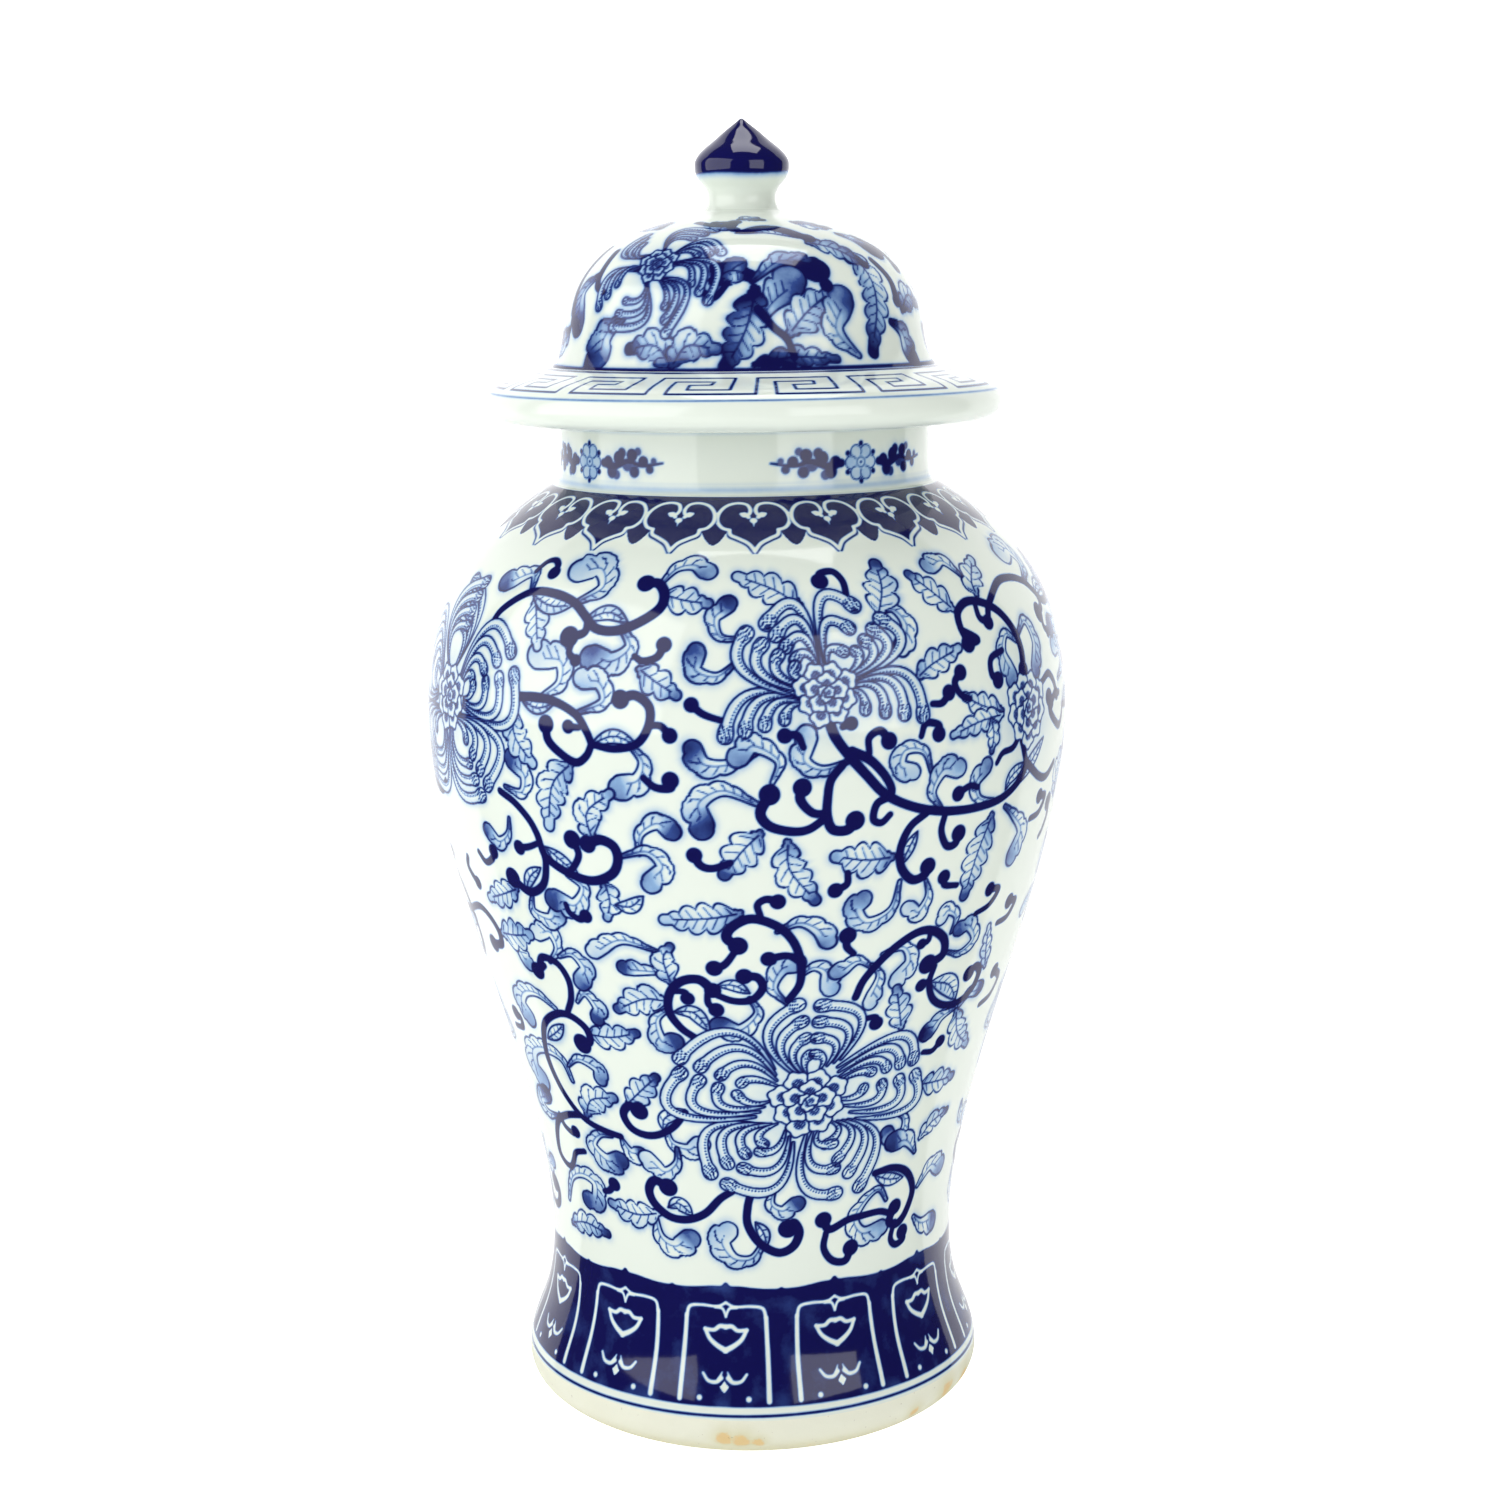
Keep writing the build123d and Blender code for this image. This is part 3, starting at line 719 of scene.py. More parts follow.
SIDE_HALF = [
    ([(-59, 266), (-52, 286), (-44.5, 278)], [(-58, 264), (-56, 268), (-54.5, 267)], 4),
    ([(-57, 257), (-44, 254), (-43, 271)], [(-57, 260), (-55, 261), (-54, 265)], 4),
    ([(-59, 254), (-46, 248), (-50, 232)], [(-60, 252), (-57, 250), (-56, 246)], 4),
    ([(-62, 250), (-61, 228), (-52, 228)], [(-61, 250), (-60, 240), (-55, 238)], 3),
    ([(-62, 268), (-57, 290), (-66, 300)], [(-62, 268), (-60, 280), (-66, 284)], 4)]
SIDE_FLOWER = ((-63, 259), 10, SIDE_HALF + [
    tuple([[(-126 - a, s) for a, s in bow] for bow in (outer, inner)]) + (count,) for outer, inner, count in SIDE_HALF])


def moved(points, by):
    return [(a + by, s) for a, s in points]


def mean(points):
    return tuple(np.mean(points, 0))


def flower(paint, spec, by=0, scale=1.0, at=None, tone=0.22, width=4.8):
    """A chrysanthemum: bundles of curled petals round a rosette."""
    centre, radius, bundles = spec
    centre = np.array(centre, float)
    target = np.array(at, float) if at else centre + (by, 0)
    for outer, inner, count in bundles:
        place = [target + (np.array(bow, float) - centre) * scale for bow in (outer, inner)]
        bundle(paint, *place, count, width * scale, tone)
    rosette(paint, target, radius * scale, 7)


def scrolls(paint):
    """The winding stems with leaves and flowers, twice round the jar, and what fills the space between at the sides."""
    shifts = (0, 180)

    def sides(points):
        a, s = mean(points)
        return -32 < a < 8 and (s < 110 or 160 < s < 240) or -32 < a < -4 and s > 240

    for kind, leaves in LEAVES.items():
        for width, spine in leaves:
            for by in shifts + ((100, 280) if sides(spine) else ()):
                leaf(paint, kind, width, moved(spine, by))
    for width, knob, points in STEMS:
        for by in shifts + ((100, 280) if sides(points) else ()):
            vine(paint, moved(points, by), width, knob)
    for by in shifts:
        flower(paint, LOW_FLOWER, at=(90 + by, 135), scale=0.66)
        flower(paint, LOW_FLOWER, at=(88 + by, 296), scale=0.34)
        flower(paint, SIDE_FLOWER, by, tone=0.24)
        flower(paint, HIGH_FLOWER, by, tone=0.3)
        flower(paint, LOW_FLOWER, by)
        rosette(paint, (56 + by, 255), 11, 8)


def petal_collar(paint, top):
    """The dark collar of hanging cloud heads below the neck, drawn for a neck 345.8 mm up the wall."""
    drop = top - 345.8
    centres = [2 + 18 * k for k in range(20)]
    head = [(0, 318), (-1.3, 321.6), (-3.4, 323.8), (-5.4, 326.2), (-7.6, 328.9), (-8.7, 334), (-7.6, 338.6),
            (-4.6, 341), (0, 341)]
    wedge = [(-3.2, 334), (-2.6, 326), (0, 320.8), (2.6, 326), (3.2, 334)]
    foot = [(0, 318.4), (1.3, 321.6), (3.4, 323.8), (5.2, 325.4), (5.6, 327.6)]
    lobe = [(5.6, 327.6), (7.4, 328.8), (8.6, 332), (8.3, 336.2), (6.6, 339.6), (4.0, 341), (1.6, 340.2),
            (0.7, 337.6), (1.0, 335.2), (2.2, 334.2), (2.9, 335.3)]

    def placed(points, c, side=1):
        return [(c + side * a, s + drop) for a, s in points]

    paint.fill([(-180, 336 + drop), (-180, top - 1.2), (180, top - 1.2), (180, 336 + drop)])
    whole = through(head, 4).tolist() + through([(-a, s) for a, s in head[-2::-1]], 4).tolist()
    for c in centres:
        paint.fill(placed(through(wedge, 4), c + 9))
        paint.fill(placed(whole, c))
    for c in centres:
        for side in (-1, 1):
            for part in (foot, lobe[:4]):
                paint.stroke(placed([(a + 0.35, s - 0.9) for a, s in part], c, side), 0.75)
            for part in (foot, lobe):
                paint.stroke(placed(part, c, side), 1.45, white=True)
            paint.dot((c + side * 2.2, 335.1 + drop), 1.1, white=True)
        paint.dot((c, 332.0 + drop), 1.3, white=True)
        for side in (-1, 1):
            paint.dot((c + side * 1.2, 333.6 + drop), 0.8, white=True)
        paint.stroke([(c, 331.6 + drop), (c, 329.2 + drop)], 1.0, 0.3, white=True, flowing=False)


# Marks left white in each half of a panel: (angle, height) points from its middle, and the width at both ends
PANEL_MARKS = [
    ([(11.1, 9.5), (11.1, 24), (10.8, 38.4)], 1.9, 1.5),
    ([(10.8, 38), (9.9, 41.6), (6.6, 42.4), (2.4, 42.2), (0, 43.6)], 1.25, 1.0),
    ([(2.8, 42), (0.9, 41.4), (0, 38.6)], 1.3, 0.8),
    ([(0, 35.0), (1.6, 35.2), (3.2, 33.8), (5.6, 34.0)], 1.7, 1.3),
    ([(5.6, 34.0), (4.3, 30.8), (2.4, 28.6), (0, 26.8)], 1.3, 2.0),
    ([(5.6, 18.8), (4.2, 16.4), (2.2, 16.0), (0.9, 17.4)], 1.0, 1.7),
    ([(1.4, 17.0), (0.7, 19.4)], 1.3, 0.5),
]


def panel_band(paint):
    """The dark foot band with twelve framed panels, each with an eye, a pair of wings and three dots."""
    centres = [-7.2 + 30 * k for k in range(12)]
    low, high = 7.5, 51
    half = [(0, 50.6), (1.2, 49.4), (4, 49.2), (9, 48.4), (13.5, 48.1), (15, 48.6)]
    scallop = through([(-a, s) for a, s in half[:0:-1]] + half).tolist()
    for c in centres:
        edge = moved(scallop, c)
        paint.fill([(c - 15, low)] + edge + [(c + 15, low)], 0.82)
        paint.stroke(edge, 0.8, flowing=False)
    rows = (paint.height > low) & (paint.height < high)
    band = paint.ink[rows]
    brushed = paint.random.random(band.shape).astype(np.float32)
    brushed = paint.soften(paint.soften(brushed, 5), 5)
    brushed = (brushed - brushed.mean()) / brushed.std()
    paint.ink[rows] = band * (1 - np.clip(brushed * 0.055, -0.1, 0.2))
    for c in centres:
        for side in (-1, 1):
            for points, start, end in PANEL_MARKS:
                paint.stroke([(c + side * a, s) for a, s in points], start, end, white=True)
            paint.dot((c + side * 6.1, 10.4), 1.0, white=True)
        paint.fill([(c, 16.4), (c + 1.2, 14.3), (c, 12.2), (c - 1.2, 14.3)], white=True)
    paint.ring(4.6, 0.9, 0.9)


def fret(paint, low, high):
    """A square meander on the lid's brim, fifteen turns round."""
    rise = (high - low) / 15
    key = [(0, 15), (18.5, 15), (17.5, 3), (8, 3), (8, 7.3), (13, 7.5), (13.5, 11), (4, 11), (3.5, 0), (23, 0),
           (24, 15)]
    for k in range(15):
        paint.stroke([(3.5 + 24 * k + a, low + s * rise) for a, s in key], 0.9, flowing=False)


def neck_flowers(paint):
    """Four pale flowers round the neck, each between two dark cloud-edged sprays."""
    mid = 10
    stem = [(7, 0), (12, -0.8), (17, 0.9), (22, -0.4), (29, 0.6)]
    clouds = ((9, 0.4, 2.3), (10.6, -3.4, 2.6), (12.4, -4.8, 1.8), (13.4, 2.4, 2.5), (14.6, 4.6, 1.9),
              (16.6, -0.4, 2.4), (18.4, 3.8, 2.3), (19.2, -3.2, 2.2), (20.6, 5.4, 1.5), (22.4, 1.2, 2.0),
              (24.6, -2.0, 1.6), (26, 1.6, 1.2))
    scale = np.interp(mid, paint.height, paint.radius) * TURN / 360
    for k in range(4):
        c = 36.5 + 90 * k
        for side in (-1, 1):
            paint.stroke([(c + side * a, mid + s) for a, s in stem], 2.8, 0.7, 0.85)
            for j, (a, s, reach) in enumerate(clouds):
                at = (c + side * a, mid + 0.78 * s)
                paint.dot(at, reach * 0.92, 0.92 - 0.16 * (j % 3))
                paint.add_glow(at, reach * 1.4, 0.14)
        for j in range(6):
            turn = TURN * (j + 0.5) / 6
            paint.dot((c + 6.3 * math.cos(turn) / scale, mid + 6.3 * math.sin(turn)), 0.9, 0.85)
        for j in range(6):
            turn = TURN * j / 6
            at = (c + 4.1 * math.cos(turn) / scale, mid + 4.1 * math.sin(turn))
            paint.dot(at, 2.4, white=True)
            paint.dot(at, 2.4, 0.17 + 0.06 * (j % 2))
            spots, angle, height, mm = paint.patch([at], 3.4)
            rim = np.abs(2.2 - np.hypot((angle - at[0]) * mm, height - at[1]))
            paint.add(paint.ink, spots, 0.74 * cover(0.26 - rim, 0.24))
        for radius, depth in ((2.3, 0), (2.1, 0.5), (1.2, 0), (0.6, 0.7)):
            paint.dot((c, mid), radius, depth, white=not depth)


# Lid: the same kinds of stem, leaf and flower, laid on wetter. A leaf here also gives its kind and the tone of its wash
LID_STEMS = [
    (3.4, 0, [(4.5, 21), (9, 15), (13, 11), (15, 5)]), (3, 2.4, [(19, 38), (24, 36), (28, 29)]),
    (4, 2.2, [(55, 39), (59, 31), (58, 23)]), (4.5, 2.6, [(-1, 56), (14, 59), (30, 51)]),
    (4, 0, [(-60, 44), (-58, 31), (-52, 27)]),
    (3.2, 0, [(-13, 27), (-9, 25), (-5, 30)]), (4.5, 0, [(-72, 46), (-73, 32), (-70, 20)]),
    (4, 2.6, [(62, 52), (70, 44), (72, 36)]),
    (4, 2.4, [(-30, 66), (-14, 62), (-5, 66)]), (4.5, 0, [(84, 34), (88, 22), (84, 12)]),
]
LID_LEAVES = [
    ("oak", 11, 0.75, [(-10, 31), (-4, 35), (2, 33)]), ("tongue", 8, 0.55, [(3, 31), (14, 39), (25, 34)]),
    ("tongue", 10, 0.4, [(4, 15), (9, 23), (16, 29)]), ("oak", 12, 0.6, [(4, 28), (1, 15), (-5, 2)]),
    ("oak", 7, 0.75, [(3, 2.5), (15, 5), (28, 4)]), ("oak", 12, 0.3, [(14, 13), (20, 20), (28, 26)]),
    ("tongue", 9, 0.26, [(36, 5), (29, 14), (33, 23)]), ("oak", 11, 0.36, [(41, 46), (48, 31), (42, 6)]),
    ("oak", 8, 0.42, [(28, 48), (38, 45), (49, 37)]), ("blade", 7, 0.85, [(-3, 55), (14, 58), (32, 50)]),
    ("oak", 10, 0.4, [(-21, 2), (-27, 9), (-36, 8)]), ("oak", 10, 0.45, [(-21, 2), (-17, 9), (-8, 8)]),
    ("tongue", 11, 0.45, [(-40, 18), (-47, 12), (-48, 5)]), ("tongue", 9, 0.5, [(-59, 34), (-66, 27), (-63, 17)]),
    ("oak", 8, 0.75, [(-18, 66), (-11, 62), (-4, 58)]), ("oak", 6, 0.6, [(-2, 70), (5, 71), (14, 69)]),
    ("tongue", 8, 0.6, [(52, 54), (58, 50), (62, 44)]), ("oak", 9, 0.5, [(60, 20), (68, 25), (76, 22)]),
    ("oak", 8, 0.6, [(-70, 14), (-77, 9), (-85, 12)]), ("oak", 8, 0.7, [(35, 66), (44, 62), (54, 60)]),
    ("oak", 8, 0.7, [(-52, 60), (-60, 63), (-72, 59)]), ("tongue", 8, 0.6, [(78, 42), (86, 47), (84, 55)]),
    ("oak", 9, 0.5, [(78, 14), (84, 9), (92, 6)]), ("oak", 9, 0.6, [(-88, 34), (-95, 30), (-98, 22)]),
    ("tongue", 8, 0.5, [(52, 16), (58, 12), (60, 4)]),
]
LID_FLOWER = ((-32, 38), 6.2, [
    ([(-26, 38), (-10, 38), (-11, 24)], [(-26, 37), (-19, 37), (-17, 30)], 3),
    ([(-29, 32), (-18, 28), (-24, 13)], [(-29, 32), (-25, 27), (-25, 22)], 3),
    ([(-34, 31), (-31, 18), (-44, 15)], [(-33, 32), (-34, 25), (-40, 24)], 3),
    ([(-38, 35), (-52, 34), (-52, 22)], [(-38, 36), (-44, 36), (-46, 30)], 3),
    ([(-38, 42), (-53, 43), (-52, 54)], [(-37, 41), (-44, 42), (-46, 48)], 3),
    ([(-32, 45), (-33, 58), (-14, 57)], [(-32, 44), (-31, 51), (-22, 51)], 3),
    ([(-27, 42), (-16, 50), (-8, 43)], [(-28, 41), (-22, 44), (-17, 42)], 3)])


def lid_scrolls(paint):
    """The dome's leaves, stems and flower, twice round, smudged a little."""
    for by in (0, 180):
        for kind, width, tone, spine in LID_LEAVES:
            leaf(paint, kind, width, moved(spine, by), tone)
        for width, knob, points in LID_STEMS:
            vine(paint, moved(points, by), width, knob)
        flower(paint, LID_FLOWER, by, tone=0.34, width=3.3)
    paint.ink = 0.7 * paint.ink + 0.3 * paint.soften(paint.ink, 1.3)


# ---------------------------------------------------------------- shader groups

class Nodes:
    """Short forms for building a node tree."""

    def __init__(self, tree):
        self.tree = tree

    def add(self, kind, inputs=(), **settings):
        node = self.tree.nodes.new("ShaderNode" + kind)
        for key, value in settings.items():
            setattr(node, key, value)
        for key, value in dict(inputs).items():
            if isinstance(value, bpy.types.NodeSocket):
                self.tree.links.new(value, node.inputs[key])
            else:
                node.inputs[key].default_value = value
        return node

    def math(self, operation, *values, clamp=False):
        node = self.add("Math", enumerate(values), operation=operation, use_clamp=clamp)
        return node.outputs[0]

    def noise(self, position, scale, detail=2.0, rough=0.5, distortion=0.0):
        return self.add("TexNoise", {"Vector": position, "Scale": scale, "Detail": detail, "Roughness": rough,
                                     "Distortion": distortion}).outputs["Fac"]

    def mix(self, share, one, other):
        node = self.add("Mix", data_type="RGBA")
        for name, value in (("Factor_Float", share), ("A_Color", one), ("B_Color", other)):
            socket = next(s for s in node.inputs if s.identifier == name)
            if isinstance(value, bpy.types.NodeSocket):
                self.tree.links.new(value, socket)
            else:
                socket.default_value = value
        return next(s for s in node.outputs if s.identifier == "Result_Color")


def shader_group(name, inputs, outputs, build):
    """A node group with named inputs and outputs, made once."""
    if name in bpy.data.node_groups:
        return bpy.data.node_groups[name]
    tree = bpy.data.node_groups.new(name, "ShaderNodeTree")
    for label, kind, default in inputs:
        socket = tree.interface.new_socket(label, in_out="INPUT", socket_type=kind)
        socket.default_value = default
    for label, kind in outputs:
        tree.interface.new_socket(label, in_out="OUTPUT", socket_type=kind)
    source, sink = tree.nodes.new("NodeGroupInput"), tree.nodes.new("NodeGroupOutput")
    for label, value in build(Nodes(tree), source.outputs).items():
        tree.links.new(value, sink.inputs[label])
    return tree


FLOAT, COLOUR = "NodeSocketFloat", "NodeSocketColor"


def cobalt_group():
    """Turns the amount of cobalt into colour: thin is sky blue, thick nearly black, and both lie unevenly."""
    def build(n, given):
        position = n.add("TexCoord").outputs["Object"]
        cloud = n.noise(position, 110, 3, 0.6)
        grain = n.noise(position, 700, 2, 0.6)
        uneven = n.math("ADD", n.math("MULTIPLY", n.math("SUBTRACT", cloud, 0.5), 0.6),
                        n.math("MULTIPLY", n.math("SUBTRACT", grain, 0.5), 0.2))
        share = n.math("MULTIPLY", given["Unevenness"], n.math("SUBTRACT", 1.25, given["Density"]))
        uneven = n.math("MULTIPLY", uneven, share)
        density = n.math("MULTIPLY", given["Density"], n.math("ADD", 1.0, uneven), clamp=True)
        thin = n.mix(n.math("MULTIPLY", density, 3.3, clamp=True), given["Glaze"], given["Thin"])
        mid = n.mix(n.math("MULTIPLY", n.math("SUBTRACT", density, 0.27), 3.6, clamp=True), thin, given["Middle"])
        thick = n.mix(n.math("MULTIPLY", n.math("SUBTRACT", density, 0.5), 3.2, clamp=True), mid, given["Thick"])
        return {"Color": thick}
    return shader_group("Cobalt under glaze", [
        ("Density", FLOAT, 0.0), ("Unevenness", FLOAT, 1.0), ("Glaze", COLOUR, (0.8, 0.85, 0.78, 1)),
        ("Thin", COLOUR, (0.3, 0.45, 0.75, 1)), ("Middle", COLOUR, (0.05, 0.1, 0.42, 1)),
        ("Thick", COLOUR, (0.006, 0.005, 0.06, 1))], [("Color", COLOUR)], build)


def glaze_group():
    """A poured glaze as height and roughness: slow waves, faint throwing rings, orange peel and a few pinholes."""
    def build(n, given):
        position = n.add("TexCoord").outputs["Object"]
        split = n.add("SeparateXYZ", {"Vector": position})
        flat = n.add("CombineXYZ", {"Z": split.outputs["Z"]}).outputs[0]
        slow = n.noise(position, 22, 1)
        peel = n.noise(position, 260, 1)
        rings = n.noise(flat, 60, 2)
        holes = n.add("TexVoronoi", {"Vector": position, "Scale": 45.0}, feature="F1").outputs["Distance"]
        pits = n.math("LESS_THAN", holes, 0.022)
        height = n.math("ADD", n.math("MULTIPLY", slow, 1.0), n.math("MULTIPLY", peel, 0.035))
        height = n.math("ADD", height, n.math("MULTIPLY", rings, 0.3))
        height = n.math("SUBTRACT", n.math("MULTIPLY", height, given["Waviness"]), n.math("MULTIPLY", pits, 0.05))
        rough = n.math("ADD", given["Roughness"], n.math("MULTIPLY", n.noise(position, 40, 3), 0.05))
        return {"Height": height, "Roughness": rough}
    return shader_group("Poured glaze", [("Waviness", FLOAT, 1.0), ("Roughness", FLOAT, 0.06)],
                        [("Height", FLOAT), ("Roughness", FLOAT)], build)


def clay_group():
    """Unglazed biscuit: sandy grain, cream where it is stained, and ragged rust where the stain is strong."""
    def build(n, given):
        position = n.add("TexCoord").outputs["Object"]
        sand = n.noise(position, 1400, 3, 0.7)
        broad = n.noise(position, 60, 4, 0.6)
        patch = n.noise(position, 150, 4, 0.7, 0.6)
        ragged = n.math("ADD", given["Stain"], n.math("MULTIPLY", n.math("SUBTRACT", patch, 0.5), 1.1))
        rust = n.math("MULTIPLY", n.math("SUBTRACT", ragged, 0.62), 5.0, clamp=True)
        rust = n.math("MULTIPLY", rust, given["Rustiness"])
        cream = n.math("ADD", n.math("MULTIPLY", broad, 0.2), n.math("MULTIPLY", given["Stain"], 0.9), clamp=True)
        base = n.mix(cream, given["Clay"], (0.68, 0.64, 0.4, 1))
        rusty = n.mix(rust, base, given["Rust"])
        speck = n.math("GREATER_THAN", n.noise(position, 700, 1), 0.77)
        colour = n.mix(n.math("MULTIPLY", speck, 0.3), rusty, (0.22, 0.15, 0.1, 1))
        return {"Color": colour, "Height": n.math("ADD", sand, n.math("MULTIPLY", broad, 0.4))}
    return shader_group("Bare biscuit", [
        ("Stain", FLOAT, 0.0), ("Clay", COLOUR, (0.8, 0.74, 0.6, 1)), ("Rust", COLOUR, (0.8, 0.54, 0.22, 1)),
        ("Rustiness", FLOAT, 0.7)], [("Color", COLOUR), ("Height", FLOAT)], build)


def four(colour):
    return (*colour[:3], 1.0)


def new_material(name):
    material = bpy.data.materials.new(name)
    material.use_nodes = True
    tree = material.node_tree
    return material, Nodes(tree), tree.nodes["Principled BSDF"]


def glazed(n, shader, waviness, roughness):
    """Gives a shader the poured glaze: a clear wavy coat."""
    tree = n.tree
    glaze = n.add("Group", node_tree=glaze_group())
    glaze.inputs["Waviness"].default_value = waviness
    glaze.inputs["Roughness"].default_value = roughness
    bump = n.add("Bump", {"Height": glaze.outputs["Height"], "Strength": 0.25, "Distance": 0.0015})
    tree.links.new(bump.outputs["Normal"], shader.inputs["Normal"])
    tree.links.new(glaze.outputs["Roughness"], shader.inputs["Roughness"])
    shader.inputs["IOR"].default_value = 1.5


def fired(name, look, unevenness, waviness):
    """Cobalt under a poured glaze."""
    material, n, shader = new_material(name)
    cobalt = n.add("Group", node_tree=cobalt_group())
    density = n.add("Attribute", attribute_name="cobalt").outputs["Fac"]
    n.tree.links.new(density, cobalt.inputs["Density"])
    for label, colour in (("Glaze", look.glaze), ("Thin", look.thin_cobalt), ("Middle", look.middle_cobalt),
                          ("Thick", look.thick_cobalt)):
        cobalt.inputs[label].default_value = four(colour)
    cobalt.inputs["Unevenness"].default_value = unevenness
    n.tree.links.new(cobalt.outputs["Color"], shader.inputs["Base Color"])
    glazed(n, shader, look.waviness * waviness, look.gloss)
    return material


def biscuit(name, look):
    """Unglazed clay, stained where it is painted."""
    material, n, shader = new_material(name)
    stain = n.add("Attribute", attribute_name="cobalt").outputs["Fac"]
    clay = n.add("Group", {"Stain": stain}, node_tree=clay_group())
    clay.inputs["Clay"].default_value = four(look.clay)
    n.tree.links.new(clay.outputs["Color"], shader.inputs["Base Color"])
    bump = n.add("Bump", {"Height": clay.outputs["Height"], "Strength": 0.35, "Distance": 0.0004})
    n.tree.links.new(bump.outputs["Normal"], shader.inputs["Normal"])
    shader.inputs["Roughness"].default_value = 0.75
    return material


# Unevenness of the cobalt and waviness of the glaze
FINISHES = {"painted_porcelain": (1.0, 1.0), "white_glaze": (1.4, 0.7), "cobalt_glaze": (0.5, 0.5)}
MATERIALS = {}


def material_of(name, look):
    """The material of that name, made the first time."""
    if name not in MATERIALS:
        MATERIALS[name] = fired(name, look, *FINISHES[name]) if name in FINISHES else biscuit(name, look)
    return MATERIALS[name]


# ---------------------------------------------------------------- settings

class JAR_look(bpy.types.PropertyGroup):
    """Colours and finish of the glaze, the cobalt and the clay."""
    glaze: bpy.props.FloatVectorProperty(
        name="Glaze", description="Clear glaze over white porcelain", subtype="COLOR", size=3, min=0, max=1,
        default=(0.76, 0.82, 0.74))
    thin_cobalt: bpy.props.FloatVectorProperty(
        name="Thin cobalt", description="A pale wash", subtype="COLOR", size=3, min=0, max=1,
        default=(0.27, 0.44, 0.67))
    middle_cobalt: bpy.props.FloatVectorProperty(
        name="Middle cobalt", description="One brush load", subtype="COLOR", size=3, min=0, max=1,
        default=(0.036, 0.078, 0.29))
    thick_cobalt: bpy.props.FloatVectorProperty(
        name="Thick cobalt", description="Pigment piled up", subtype="COLOR", size=3, min=0, max=1,
        default=(0.004, 0.004, 0.074))
    clay: bpy.props.FloatVectorProperty(
        name="Clay", description="Unglazed foot and ring", subtype="COLOR", size=3, min=0, max=1,
        default=(0.82, 0.83, 0.70))
    gloss: bpy.props.FloatProperty(
        name="Glaze roughness", description="Roughness of the fired glaze", default=0.045, min=0, max=1,
        subtype="FACTOR")
    waviness: bpy.props.FloatProperty(
        name="Waviness", description="How unevenly the glaze ran", default=1.0, min=0, max=3, subtype="FACTOR")


class JAR_detail(bpy.types.PropertyGroup):
    """How finely the jar is turned and painted."""
    columns: bpy.props.IntProperty(
        name="Columns", description="Faces round the belly", default=1560, min=48, max=2400)
    step: bpy.props.FloatProperty(
        name="Row height", description="Height of a row of faces on the painted side", default=0.00046, min=0.0002,
        max=0.01, subtype="DISTANCE", unit="LENGTH")
    grain: bpy.props.FloatProperty(
        name="Paint grain", description="Finest mark of the brush", default=0.00025, min=0.0001, max=0.005,
        subtype="DISTANCE", unit="LENGTH")


class JAR_stage(bpy.types.PropertyGroup):
    """The studio."""
    distance: bpy.props.FloatProperty(
        name="Camera distance", description="From the jar's axis", default=0.925, min=0.3, max=5, subtype="DISTANCE",
        unit="LENGTH")
    height: bpy.props.FloatProperty(
        name="Camera height", description="Above the floor", default=0.4073, min=0, max=3, subtype="DISTANCE",
        unit="LENGTH")
    lens: bpy.props.FloatProperty(
        name="Lens", description="Focal length on a 36 mm sensor", default=62.4, min=10, max=300,
        subtype="DISTANCE_CAMERA")
    tilt: bpy.props.FloatProperty(
        name="Camera tilt", description="Downwards", default=math.radians(10.4), subtype="ANGLE", unit="ROTATION")
    roll: bpy.props.FloatProperty(
        name="Camera roll", description="Round the line of sight", default=math.radians(-0.54), subtype="ANGLE",
        unit="ROTATION")
    light: bpy.props.FloatProperty(
        name="Room light", description="Strength of the surrounding light", default=0.22, min=0, max=10)


# ---------------------------------------------------------------- pieces

INTO_NECK = (-0.9, 0.42)
BODY = smooth(BODY_LINE, (0, 1), INTO_NECK, 0.55)
FINE_BODY = smooth(BODY_LINE, (0, 1), INTO_NECK, 0.2)
CAVITY = smooth(CAVITY_LINE, (1, 1.2), (-0.8, 0.6), 4.0)
CAVITY = np.vstack([CAVITY, [[BORE_R, 333.2], [BORE_R, SHOULDER]]])
PAINTS = {}


def jar_settings():
    scene = bpy.context.scene
    return scene.jar_look, scene.jar_detail


def body_paint(detail):
    """The cobalt of the whole body, painted once and shared by its sections."""
    if "body" not in PAINTS:
        paint = Paint(BODY, detail.grain / MM)
        scrolls(paint)
        paint.wash = paint.soften(paint.wash, 0.5)
        petal_collar(paint, paint.height[-1])
        panel_band(paint)
        paint.finish()
        PAINTS["body"] = paint
    return PAINTS["body"]


def wall_section(name, low, high):
    """A section of the jar's wall, painted outside and plain inside."""
    look, detail = jar_settings()
    outer = resampled(between(FINE_BODY, low, high), detail.step / MM)
    inner = resampled(between(CAVITY, low, high), 4.0)[::-1]
    section = np.vstack([outer, inner])
    return piece(name + "_glazed", section, detail.columns, name, "jar",
                 [material_of("painted_porcelain", look)], body_paint(detail), outer)


# Rust in the foot's clay: (angle, height), reach in millimetres and depth
RUST_SPOTS = (((-7, 18.5), 4.6, 1), ((-3, 17.5), 5.2, 1), ((1, 17), 3.4, 1), ((44, 17), 4, 0.85),
              ((57, 19), 6, 0.95), ((68, 18), 5.4, 1), ((150, 17), 5, 0.9), ((-120, 18), 4, 0.9))


